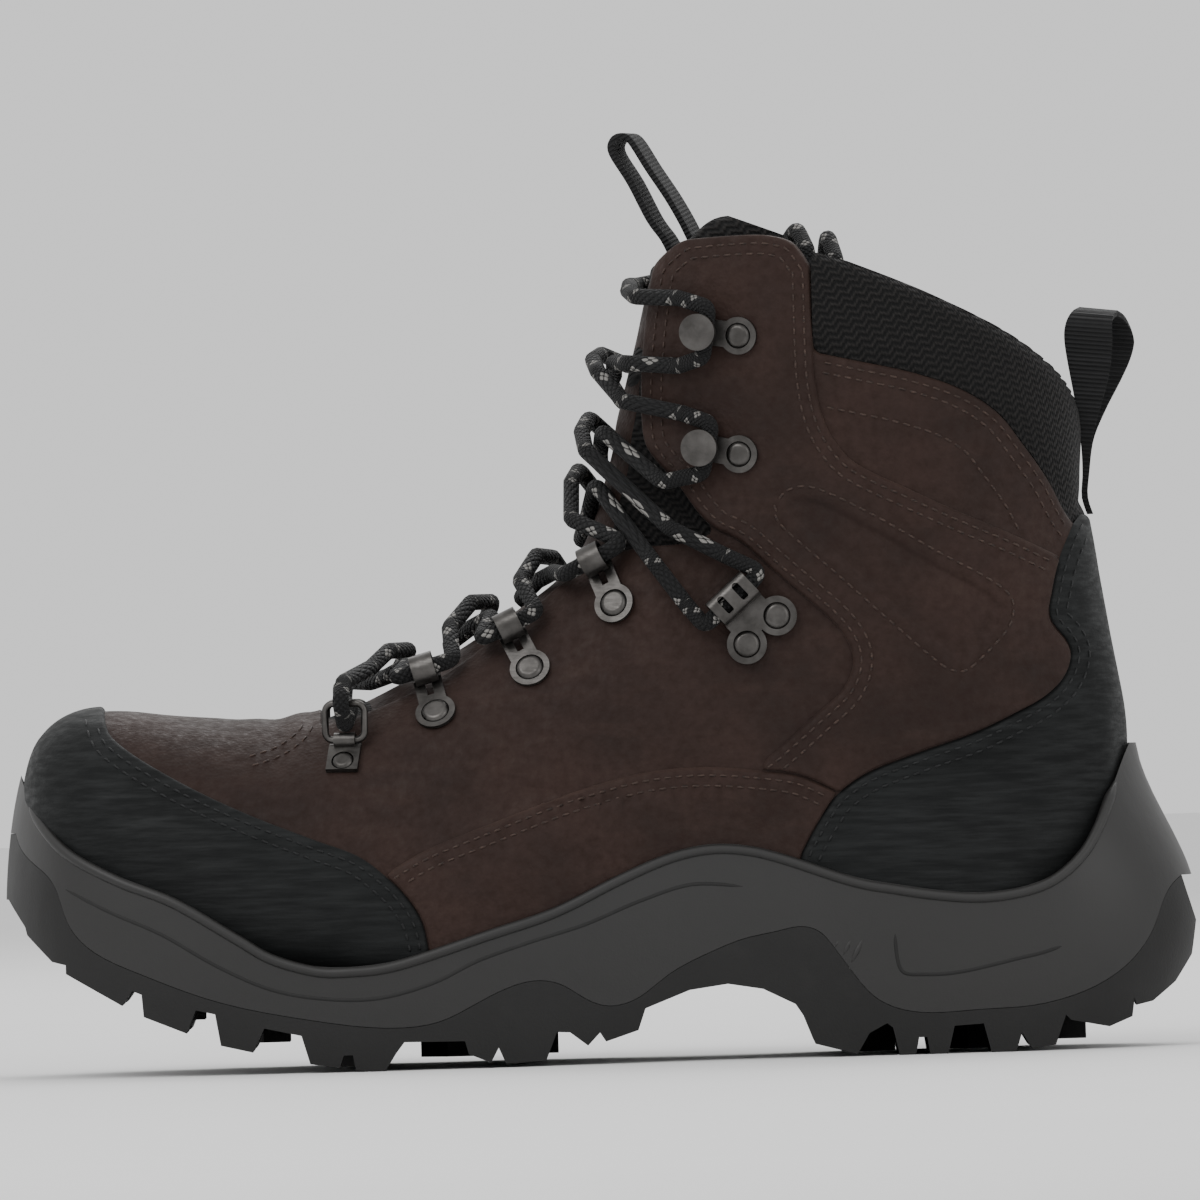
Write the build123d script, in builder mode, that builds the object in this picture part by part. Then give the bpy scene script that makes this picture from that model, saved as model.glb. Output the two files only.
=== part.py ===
"""Hiking boot, left foot, men's size about EU 43: every separate piece as its own solid.

Frame, in mm: origin under the middle of the boot on the ground, +Z up, the toe points to -X,
the outer (lateral) side faces -Y and the inner (medial) side faces +Y.
"""

import math
import os

from build123d import *

# ---- layer depths, measured outwards from the outer face of the main leather ----
OVERLAY_OUT = 1.4  # outer face of the toe cap, heel cover, mudguard and ankle facing
OVERLAY_IN = 0.12
LEATHER_OUT = 0.0
LEATHER_IN = -1.6
STIFF_OUT = -1.72  # toe puff and heel stiffener sit between leather and lining
STIFF_IN = -2.8
LINING_OUT = -2.95
LINING_IN = -6.2
WIDE = 90.0  # half width of every cutting prism

# ---- the last: stations from the toe round the instep to the top of the shaft ----
# each row: bottom or back point (x, z), ridge or front point (x, z), centre y,
# half width outside, half width inside, height of the widest place, lower and upper fullness
STATIONS = [
    (-147.0, 60.0, -148.5, 76.0, 7.0, 13.0, 13.0, 0.50, 2.3, 2.3),
    (-145.0, 51.0, -145.0, 87.0, 6.5, 27.0, 25.5, 0.45, 2.5, 2.4),
    (-138.5, 42.0, -136.5, 93.8, 6.0, 37.5, 34.5, 0.40, 2.9, 2.4),
    (-124.0, 34.0, -121.5, 95.0, 5.0, 45.0, 41.0, 0.36, 3.2, 2.4),
    (-102.0, 27.0, -99.0, 92.6, 3.0, 49.0, 46.0, 0.32, 3.4, 2.3),
    (-76.0, 22.0, -73.0, 93.8, 1.5, 50.5, 48.5, 0.30, 3.4, 2.1),
    (-50.0, 20.5, -46.5, 105.0, 0.5, 48.5, 47.0, 0.28, 3.4, 2.0),
    (-22.0, 23.5, -21.5, 120.0, 0.0, 44.0, 42.5, 0.27, 3.4, 2.0),
    (10.0, 29.0, -4.0, 134.5, 0.0, 40.5, 39.0, 0.28, 3.2, 2.1),
    (95.0, 39.0, 4.0, 158.0, 0.0, 37.0, 36.5, 0.38, 2.6, 2.5),
    (127.0, 49.0, 6.0, 169.0, 0.0, 36.5, 36.5, 0.44, 2.3, 2.6),
    (137.8, 74.0, 8.6, 179.0, 0.0, 37.0, 37.0, 0.46, 2.2, 2.6),
    (136.0, 100.0, 11.5, 190.0, 0.0, 37.5, 37.5, 0.48, 2.2, 2.7),
    (131.5, 127.0, 14.0, 200.5, 0.0, 38.5, 38.5, 0.48, 2.2, 2.7),
    (128.5, 154.0, 17.5, 212.0, 0.0, 39.5, 39.5, 0.48, 2.3, 2.7),
    (130.0, 184.0, 22.5, 226.0, 0.0, 40.0, 40.0, 0.48, 2.3, 2.7),
]

# ---- side outlines (x, z) of the seams ----
FEATHER = [(-150.8, 79.2), (-147.5, 71.0), (-139.3, 60.6), (-125.4, 52.6), (-111.0, 46.6), (-95.0, 36.8),
           (-86.0, 31.3), (-74.8, 27.8), (-66.0, 27.3), (-52.8, 28.7), (-28.7, 35.9), (-11.8, 41.1),
           (5.2, 49.0), (17.9, 54.1), (27.9, 56.2), (37.1, 55.9), (47.0, 53.5), (65.6, 46.9),
           (76.8, 44.5), (88.0, 42.6), (99.5, 41.7), (110.8, 43.0), (119.0, 46.1), (126.0, 52.0),
           (130.5, 59.0), (134.5, 68.0), (139.5, 79.2)]
RAND = [(-152.3, 64.0), (-149.1, 57.8), (-143.2, 52.4), (-138.4, 40.2), (-132.5, 33.4), (-121.4, 27.6),
        (-101.5, 19.7), (-75.2, 13.7), (-53.3, 11.2), (-42.0, 12.7), (-33.5, 16.6), (-25.0, 20.6),
        (-16.6, 22.4), (-10.8, 21.2), (-4.2, 17.1), (0.8, 15.3), (8.4, 16.7), (17.0, 22.7),
        (27.9, 28.2), (37.9, 31.8), (46.4, 33.4), (52.0, 34.3), (56.5, 33.0), (60.5, 28.6),
        (65.5, 21.5), (71.0, 15.2), (77.2, 12.1), (98.6, 11.4), (109.9, 11.8), (121.2, 13.9),
        (132.6, 18.8), (140.2, 25.3), (144.3, 31.8), (148.2, 40.8), (152.0, 44.4)]
TREAD = [(-154.8, 46.7), (-150.2, 39.7), (-149.7, 37.6), (-143.1, 30.6), (-139.5, 29.7), (-139.5, 27.4),
         (-124.9, 18.8), (-122.2, 22.6), (-119.8, 21.6), (-119.4, 15.8), (-108.3, 11.2), (-105.8, 17.2),
         (-100.8, 16.0), (-99.5, 7.8), (-91.2, 5.8), (-88.1, 12.0), (-78.5, 9.8), (-76.4, 2.4),
         (-68.8, 1.2), (-67.6, 4.4), (-65.3, 4.4), (-64.6, 0.4), (-57.0, 0.0), (-54.0, 4.6),
         (-51.8, 7.4), (-36.1, 7.2), (-35.2, 3.8), (-29.5, 1.4), (-27.4, 5.2), (-25.6, 1.0),
         (-15.1, 1.6), (-12.2, 8.8), (-8.8, 8.6), (-4.2, 5.0), (-1.0, 8.3), (0.5, 5.9),
         (9.0, 8.6), (11.0, 14.2), (22.6, 18.6), (32.6, 19.9), (41.7, 18.3), (50.0, 14.1),
         (52.2, 10.7), (54.9, 3.6), (65.8, 0.6), (69.1, 6.0), (73.7, 8.4), (75.2, 7.2),
         (76.8, 0.0), (81.0, 0.0), (81.9, 4.5), (84.0, 4.5), (84.7, 0.0), (89.4, 0.0),
         (91.2, 7.2), (98.8, 7.6), (100.7, 0.0), (107.2, 0.2), (108.7, 5.0), (111.2, 0.7),
         (117.5, 1.5), (120.3, 9.2), (121.6, 7.8), (131.7, 5.7), (137.8, 8.1), (138.5, 13.0),
         (138.9, 11.0), (143.4, 11.9), (149.6, 16.7), (154.3, 23.6), (155.6, 32.5), (153.2, 40.1)]
TOE_EDGE = [(-128.5, 97.5), (-127.4, 91.2), (-124.9, 87.2), (-117.0, 81.4), (-103.6, 73.7), (-88.9, 66.7),
            (-73.8, 60.5), (-62.7, 56.0), (-55.5, 50.5), (-50.2, 44.9), (-46.2, 37.9), (-44.3, 28.0)]
MUD_TOP = [(-55.0, 51.4), (-44.9, 57.0), (-27.9, 63.3), (-11.0, 69.4), (5.9, 74.1), (18.6, 76.1),
           (30.9, 76.3), (43.4, 75.1), (53.3, 73.2), (62.9, 68.5)]
HEEL_EDGE = [(52.5, 52.8), (55.4, 58.2), (59.3, 64.2), (62.9, 68.5), (71.1, 73.8), (84.6, 78.6), (98.1, 82.9),
             (108.2, 87.3), (117.0, 91.8), (122.4, 96.9), (124.6, 102.8), (123.2, 107.0),
             (119.9, 111.0), (119.0, 114.5), (119.9, 118.9), (122.0, 127.0), (125.8, 135.8), (128.5, 139.3)]
FACING_FRONT = [(22.8, 210.6), (19.3, 206.5), (17.7, 198.7), (16.1, 188.3), (14.9, 173.9), (15.2, 162.0),
                (18.2, 156.0), (23.2, 150.5), (27.9, 143.4), (32.4, 138.4), (39.4, 134.5), (45.8, 128.5),
                (52.4, 122.5), (58.8, 116.8), (64.1, 111.4), (67.2, 105.8), (67.2, 100.6), (64.4, 95.2),
                (58.0, 89.6), (47.8, 81.0), (42.0, 76.6)]
FACING_TOP = [(22.8, 210.6), (27.1, 213.4), (32.9, 214.1), (44.7, 214.5), (50.4, 213.9), (55.1, 212.0), (59.3, 206.0)]
FACING_BACK = [(59.7, 205.0), (59.7, 183.6), (60.2, 174.5), (61.8, 166.2), (65.0, 159.6), (70.4, 153.9),
               (83.8, 147.0), (97.0, 140.6), (110.1, 134.7), (121.0, 129.2)]
CUFF_TOP = [(59.7, 183.6), (71.2, 180.9), (84.7, 177.6), (97.9, 172.8), (107.7, 166.2), (114.0, 158.1),
            (120.5, 148.5), (126.0, 138.0), (134.0, 130.0)]
COLLAR_TOP = [(57.4, 210.6), (69.1, 206.9), (88.5, 198.7), (109.1, 188.1), (121.9, 178.6), (128.2, 170.5),
              (131.5, 161.3), (130.5, 150.9), (129.5, 141.8)]
THROAT = [(-71.0, 90.6), (-60.0, 93.6), (-48.9, 98.0), (-34.8, 105.6), (-16.0, 119.4), (-6.0, 127.0),
          (4.0, 132.5), (13.2, 134.6), (24.0, 135.2), (31.5, 138.0)]


def hermite(a, b, c, d, t):
    """Smooth value between b and c with neighbours a and d."""
    m0, m1 = (c - a) / 2, (d - b) / 2
    return ((2 * t ** 3 - 3 * t ** 2 + 1) * b + (t ** 3 - 2 * t ** 2 + t) * m0
            + (3 * t ** 2 - 2 * t ** 3) * c + (t ** 3 - t ** 2) * m1)


def station(t, depth=0.0):
    """The section row at place t along the stations, moved outwards by depth."""
    last = len(STATIONS) - 1
    i = min(max(int(t), 0), last - 1)
    rows = [STATIONS[min(max(i + k, 0), last)] for k in (-1, 0, 1, 2)]
    xb, zb, xt, zt, yc, wl, wm, h, nb, nt = [hermite(*col, t - i) for col in zip(*rows)]
    run = math.hypot(xt - xb, zt - zb)
    ex, ez = (xt - xb) / run, (zt - zb) / run
    pull = -depth * max(0.0, 1 - t / 4) ** 1.5
    xb, xt = xb + pull, xt + pull
    return (xb - ex * depth, zb - ez * depth, ex, ez, run + 2 * depth, yc, wl + depth, wm + depth, h, nb, nt)


def half_width(u, h, nb, nt):
    """Width of the section, 0 to 1, at height u, 0 to 1."""
    reach, n = ((h - u) / h, nb) if u < h else ((u - h) / (1 - h), nt)
    return (1 - min(reach, 1.0) ** n) ** (1 / n)


def skin(x, z, side, depth=0.0):
    """The point of the layer at this depth seen at (x, z) from the side, and its outward normal."""

    def y_at(px, pz):
        lo, hi = 0.0, len(STATIONS) - 1.001
        for _ in range(40):
            mid = (lo + hi) / 2
            xb, zb, ex, ez = station(mid, depth)[:4]
            if (px - xb) * ez - (pz - zb) * ex > 0:
                lo = mid
            else:
                hi = mid
        xb, zb, ex, ez, run, yc, wl, wm, h, nb, nt = station(lo, depth)
        u = min(max(((px - xb) * ex + (pz - zb) * ez) / run, 0.0), 1.0)
        return yc + side * (wm if side > 0 else wl) * half_width(u, h, nb, nt)

    y = y_at(x, z)
    dx = (y_at(x + 0.5, z) - y_at(x - 0.5, z))
    dz = (y_at(x, z + 0.5) - y_at(x, z - 0.5))
    return Vector(x, y, z), Vector(-dx * side, side, -dz * side).normalized()


def section_points(t, depth, count=20):
    """The section at t as points in its own plane: along the section line, and across."""
    xb, zb, ex, ez, run, yc, wl, wm, h, nb, nt = station(t, depth)
    points = []
    for k in range(count):
        a = 2 * math.pi * (k + 0.5) / count
        c, s = math.cos(a), math.sin(a)
        n = nt if c > 0 else nb
        reach = math.copysign(abs(c) ** (2 / n), c)
        along = run * (h + reach * ((1 - h) if c > 0 else h))
        w = wm if s > 0 else wl
        points.append((along, yc + math.copysign(abs(s) ** (2 / n), s) * w))
    return Plane((xb, 0, zb), x_dir=(ex, 0, ez), z_dir=(-ez, 0, ex)), points


def last_solid(depth):
    """The whole upper filled solid, out to the layer face at this depth."""
    with BuildPart() as solid:
        for t in range(len(STATIONS)):
            plane, points = section_points(t, depth)
            with BuildSketch(plane):
                with BuildLine():
                    Spline(*points, periodic=True)
                make_face()
        loft()
    return solid.part


def layer(outer_depth, inner_depth):
    """A shell between two layer faces."""
    with BuildPart() as shell:
        add(last_solid(outer_depth))
        add(last_solid(inner_depth), mode=Mode.SUBTRACT)
    return shell.part


def region(*runs, grow=0.0):
    """A closed side outline from runs of points, each run a smooth curve, joined by straight lines."""
    with BuildSketch() as flat:
        with BuildLine():
            first, prev = None, None
            for run in runs:
                if prev is not None and Vector(*prev).sub(Vector(*run[0])).length > 0.01:
                    Line(prev, run[0])
                if len(run) > 2:
                    Spline(*run)
                elif len(run) == 2:
                    Line(*run)
                first = first or run[0]
                prev = run[-1]
            if Vector(*prev).sub(Vector(*first)).length > 0.01:
                Line(prev, first)
        make_face()
        if grow:
            offset(amount=grow, kind=Kind.INTERSECTION)
    return flat.sketch


def side_cut(shell, outline, side=0, start=0.0, mode=Mode.INTERSECT):
    """Keep what a side outline covers: side -1 outside half, +1 inside half, 0 both."""
    with BuildPart() as piece:
        add(shell)
        with BuildSketch(Plane.XZ.offset(-side * start)):
            add(outline)
        if side == 0:
            extrude(amount=WIDE, both=True, mode=mode)
        else:
            extrude(amount=-side * WIDE, mode=mode)
    return piece.part


def piece(solid, label):
    """Name a finished solid and keep it for export."""
    solid.label = label
    PIECES.append(solid)
    return solid


PIECES = []
os.makedirs("parts", exist_ok=True)

# ---- upper: the four layers ----
overlay_layer = layer(OVERLAY_OUT, OVERLAY_IN)
leather_layer = layer(LEATHER_OUT, LEATHER_IN)
stiff_layer = layer(STIFF_OUT, STIFF_IN)
lining_layer = layer(LINING_OUT, LINING_IN)

# ---- sole: foot-shaped outlines stacked up, then cut by the side outlines ----
# each row: height, toe x, heel x, how much wider than the basic plan
SOLE_LEVELS = [(-2.0, -150.0, 148.0, -1.5), (16.0, -153.5, 152.0, 0.5), (34.0, -155.5, 156.5, 0.5),
               (50.0, -155.3, 153.0, -0.5), (66.0, -153.5, 145.5, -3.0), (84.0, -149.0, 141.0, -6.0)]
# plan outline: place along the length 0 to 1, half width outside, half width inside
PLAN = [(0.015, 17.0, 29.0), (0.05, 36.5, 43.5), (0.11, 46.5, 50.0), (0.19, 51.0, 53.0), (0.29, 54.5, 53.0),
        (0.40, 53.5, 50.0), (0.51, 48.0, 43.0), (0.62, 43.5, 39.5), (0.74, 42.0, 40.5), (0.85, 41.5, 41.0),
        (0.94, 34.0, 34.0), (0.985, 20.0, 20.0)]


def sole_block():
    """The foot-shaped block the midsole and the outsole are cut from."""
    with BuildPart() as block:
        for z, x_toe, x_heel, more in SOLE_LEVELS:
            outside = [(x_toe + u * (x_heel - x_toe), -(w + more)) for u, w, _ in PLAN]
            inside = [(x_toe + u * (x_heel - x_toe), w + more) for u, _, w in PLAN]
            with BuildSketch(Plane.XY.offset(z)):
                with BuildLine():
                    Spline((x_toe, 7.0), *outside, (x_heel, 0.0), *reversed(inside), periodic=True)
                make_face()
        loft()
    return block.part


block = sole_block()
sole_front = [(-165.0, 64.0), (-165.0, 79.2)]
with BuildPart() as midsole:
    add(side_cut(block, region(FEATHER, [(165.0, 79.2), (165.0, 44.4)], list(reversed(RAND)), sole_front)))
    add(last_solid(OVERLAY_IN), mode=Mode.SUBTRACT)
piece(midsole.part, "midsole")

SEAM = 0.15  # gap left between neighbouring pieces
ROOTS = [(-160.0, 44.0), (-150.0, 38.0), (-122.0, 22.6), (-100.8, 16.0), (-85.0, 11.0), (-60.0, 8.0), (-36.0, 7.3),
         (-10.0, 9.0), (11.0, 14.2), (32.6, 20.5), (50.0, 14.1), (58.0, 9.0), (72.0, 8.4), (98.0, 7.6),
         (120.0, 9.2), (138.0, 13.0), (160.0, 26.0), (160.0, -8.0), (-160.0, -8.0)]
CENTRE_LUGS = [(-112.0, 14.0), (-90.0, 7.5), (-66.0, 0.6), (-42.0, 2.4), (-20.0, 2.6), (68.0, 0.6), (94.0, 0.6), (118.0, 2.4)]


def polygon(*points):
    """A flat outline with straight sides."""
    with BuildSketch() as flat:
        with BuildLine():
            Polyline(*points, close=True)
        make_face()
    return flat.sketch


def below(line, drop=0.0):
    """Everything under a line seen from the side."""
    return polygon(*[(x, z + drop) for x, z in line], (line[-1][0], -10.0), (line[0][0], -10.0))


def outsole_profile():
    """Side outline of the outsole: rubber from the midsole down to the lug faces."""
    with BuildSketch() as flat:
        with BuildLine():
            top = [(x, z - SEAM) for x, z in RAND]
            Spline(*top)
            Polyline(top[-1], *reversed(TREAD), (-165.0, 46.7), (-165.0, 63.8), top[0])
        make_face()
    return flat.sketch


with BuildPart() as centre_lugs:
    for lug_x, lug_z in CENTRE_LUGS:
        with BuildSketch(Plane.XY.offset(lug_z)):
            with BuildLine():
                Polyline((lug_x - 6, 0), (lug_x + 1, -7.5), (lug_x + 8, -7.5), (lug_x + 2, 0),
                         (lug_x + 8, 7.5), (lug_x + 1, 7.5), close=True)
            make_face()
        extrude(amount=12.0)
with BuildPart() as outsole:
    add(side_cut(block, outsole_profile()))
    with BuildSketch(Plane.XZ):
        add(polygon(*ROOTS))
    extrude(amount=10.0, both=True, mode=Mode.SUBTRACT)
    add(side_cut(centre_lugs.part, below(RAND, -0.8)))
    add(last_solid(OVERLAY_IN), mode=Mode.SUBTRACT)
piece(outsole.part, "outsole")

# ---- upper, cut from the layers by the seams ----
toe_region = region(TOE_EDGE, [(-44.3, 10.0), (-170.0, 10.0)], [(-170.0, 110.0), (-128.5, 110.0)])
heel_region = region(HEEL_EDGE, [(150.0, 139.3), (150.0, 10.0)], [(52.5, 10.0)])
mud_region = region(MUD_TOP, [(64.0, 10.0), (-60.0, 10.0)])
above_sole = region([(x, z + SEAM) for x, z in FEATHER], [(170.0, 79.4), (170.0, 260.0)], [(-170.0, 260.0), (-170.0, 79.4)])
BOARD = [(-165.0, 66.0), (-150.0, 62.0), (-139.0, 47.0), (-124.0, 39.0), (-102.0, 31.5), (-76.0, 26.0), (-50.0, 24.5),
         (-22.0, 27.5), (10.0, 33.5), (50.0, 39.5), (95.0, 43.0), (118.0, 47.0), (130.0, 56.0), (150.0, 60.0)]


def shift(outline, x, z=0.0):
    """A side outline moved a little, to leave a seam."""
    return outline.moved(Location((x, z, 0)))


overlays = side_cut(overlay_layer, above_sole)
toe_cap = side_cut(overlays, toe_region)
piece(toe_cap, "toe_cap")
heel_cover = side_cut(overlays, heel_region)
piece(heel_cover, "heel_cover")
facing_region = region(FACING_FRONT, [(42.0, 60.0), (125.0, 80.0)], [(126.0, 126.5), (121.0, 129.2)],
                       list(reversed(FACING_BACK))[1:], list(reversed(FACING_TOP)))
THROAT_LEATHER = THROAT + [(27.9, 143.4), (23.2, 150.5), (18.2, 156.0), (15.2, 162.0), (14.9, 173.9),
                           (16.1, 188.3), (17.7, 198.7), (19.3, 206.5), (22.8, 210.6)]
leather_region = region([(-170.0, 10.0), (-170.0, 110.0)], [(-71.0, 110.0)], THROAT_LEATHER,
                        FACING_TOP[1:], CUFF_TOP, [(150.0, 130.0), (150.0, 10.0)])
VAMP_BACK = [(34.5, 146.0), (62.0, 127.0), (76.0, 106.0), (60.0, 80.0), (50.0, 50.0), (50.0, 5.0)]
vamp_region = polygon((-175.0, 5.0), (-175.0, 120.0), (-20.0, 146.0), *VAMP_BACK)
TONGUE_BACK = [(-73.5, 84.5), (-60.0, 86.0), (-46.0, 89.5), (-30.0, 96.5), (-10.0, 109.5), (4.0, 118.5), (20.0, 125.0),
               (32.0, 131.0), (38.0, 140.0), (34.0, 150.0), (28.5, 160.0), (26.5, 175.0), (28.0, 190.0),
               (32.0, 199.5), (41.0, 203.0), (52.0, 204.0)]
TONGUE_TOP = [(52.0, 217.3), (43.3, 220.2), (36.7, 220.9), (31.5, 220.0), (26.1, 216.0), (19.0, 209.0)]
TONGUE_HINGE = (-73.5, 89.0)
TONGUE_SWING = 3.0  # degrees the tongue can be pushed into the shaft under tied laces
tongue_region = region(TONGUE_BACK, TONGUE_TOP, [(0.0, 215.0), (-90.0, 130.0)], [(-73.5, 100.0)])


def swung(x, z, degrees):
    """A point of the tongue after it has swung into the shaft."""
    a = math.radians(degrees)
    dx, dz = x - TONGUE_HINGE[0], z - TONGUE_HINGE[1]
    return TONGUE_HINGE[0] + dx * math.cos(a) + dz * math.sin(a), TONGUE_HINGE[1] - dx * math.sin(a) + dz * math.cos(a)


LINING_FRONT = [swung(x, z, TONGUE_SWING + 0.6) for x, z in TONGUE_BACK]
lining_cut = region([(-75.2, 82.8)], [(x + 0.9, z - 0.9) for x, z in LINING_FRONT], [(60.5, 260.0), (-90.0, 260.0)],
                    [(-75.6, 110.0)])
collar_region = region(CUFF_TOP, [(145.0, 128.0), (145.0, 141.8)], list(reversed(COLLAR_TOP))[:-1], [(60.2, 209.6)])

for side, name in ((-1, "lateral"), (1, "medial")):
    with BuildPart() as mudguard:
        add(side_cut(overlays, mud_region, side, start=1.0))
        with BuildSketch(Plane.XZ):
            add(shift(toe_region, 0.25))
            add(shift(heel_region, -0.25))
        extrude(amount=WIDE, both=True, mode=Mode.SUBTRACT)
    piece(mudguard.part, f"mudguard_{name}")
    with BuildPart() as facing:
        add(side_cut(overlays, facing_region, side, start=1.0))
        with BuildSketch(Plane.XZ):
            add(shift(mud_region, 0.0, 0.25))
            add(shift(heel_region, -0.25, 0.2))
        extrude(amount=WIDE, both=True, mode=Mode.SUBTRACT)
    piece(facing.part, f"ankle_facing_{name}")

leather = side_cut(side_cut(leather_layer, leather_region), below(BOARD, 0.15), mode=Mode.SUBTRACT)
piece(side_cut(leather, vamp_region), "vamp")
rear = side_cut(leather, shift(vamp_region, 0.2, 0.1), mode=Mode.SUBTRACT)
whole_side = polygon((-180, -10), (180, -10), (180, 260), (-180, 260))
piece(side_cut(rear, whole_side, -1, start=0.1), "quarter_lateral")
piece(side_cut(rear, whole_side, 1, start=0.1), "quarter_medial")
piece(side_cut(leather_layer, below(BOARD)), "insole_board")

stiff = side_cut(stiff_layer, below(BOARD, 1.5), mode=Mode.SUBTRACT)
piece(side_cut(stiff, shift(toe_region, -8.0)), "toe_puff")
piece(side_cut(stiff, shift(heel_region, 8.0, -8.0)), "heel_stiffener")

with BuildPart() as lining:
    add(lining_layer)
    with BuildSketch(Plane.XZ):
        add(lining_cut)
        add(region(CUFF_TOP, [(150.0, 130.0), (150.0, 260.0)], [(57.0, 260.0)]).moved(Location((0, -0.15, 0))))
    extrude(amount=WIDE, both=True, mode=Mode.SUBTRACT)
piece(side_cut(lining.part, whole_side, -1, start=0.1), "lining_lateral")
piece(side_cut(lining.part, whole_side, 1, start=0.1), "lining_medial")

collar_layer = layer(OVERLAY_OUT, LINING_IN)
with BuildPart() as collar:
    add(side_cut(collar_layer, collar_region))
    add(side_cut(layer(OVERLAY_OUT + 0.6, LEATHER_OUT), shift(heel_region, -0.25, 0.2)), mode=Mode.SUBTRACT)
piece(collar.part, "collar")
tongue_shell = side_cut(lining_layer, tongue_region)
piece(tongue_shell, "tongue")

FOOT = [(-165.0, 72.0), (-147.0, 66.0), (-139.0, 54.0), (-124.0, 45.0), (-102.0, 37.5), (-76.0, 32.3), (-50.0, 30.8),
        (-22.0, 33.8), (10.0, 39.8), (50.0, 45.8), (95.0, 49.6), (115.0, 53.0), (128.0, 62.0), (150.0, 70.0)]
piece(side_cut(last_solid(LINING_IN - 0.15), below(FOOT)), "footbed")

# ---- lacing hardware: each stands on the skin at its rivet, local x towards the throat, z outwards ----
LACE_R = 2.15
SIDES = ((-1, "lateral"), (1, "medial"))


def seat(x, z, tx, tz, side, depth):
    """Plane on the skin at (x, z), local x pointing at (tx, tz) as seen from the side."""
    point, normal = skin(x, z, side, depth)
    towards = Vector(tx - x, 0, tz - z)
    towards = (towards - normal * towards.dot(normal)).normalized()
    return Plane(origin=point, x_dir=towards, z_dir=normal)


def rivet(at, x=0.0, y=0.0, r=3.6):
    """A domed rivet head."""
    with BuildPart() as head:
        with BuildSketch(at.offset(0.2)):
            with Locations((x, y)):
                Circle(r)
        extrude(amount=1.9)
        rims = head.edges().filter_by(GeomType.CIRCLE)
        fillet(rims.sort_by(lambda e: (e.center() - at.origin).dot(at.z_dir))[-1:], 1.3)
    return head.part


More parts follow.
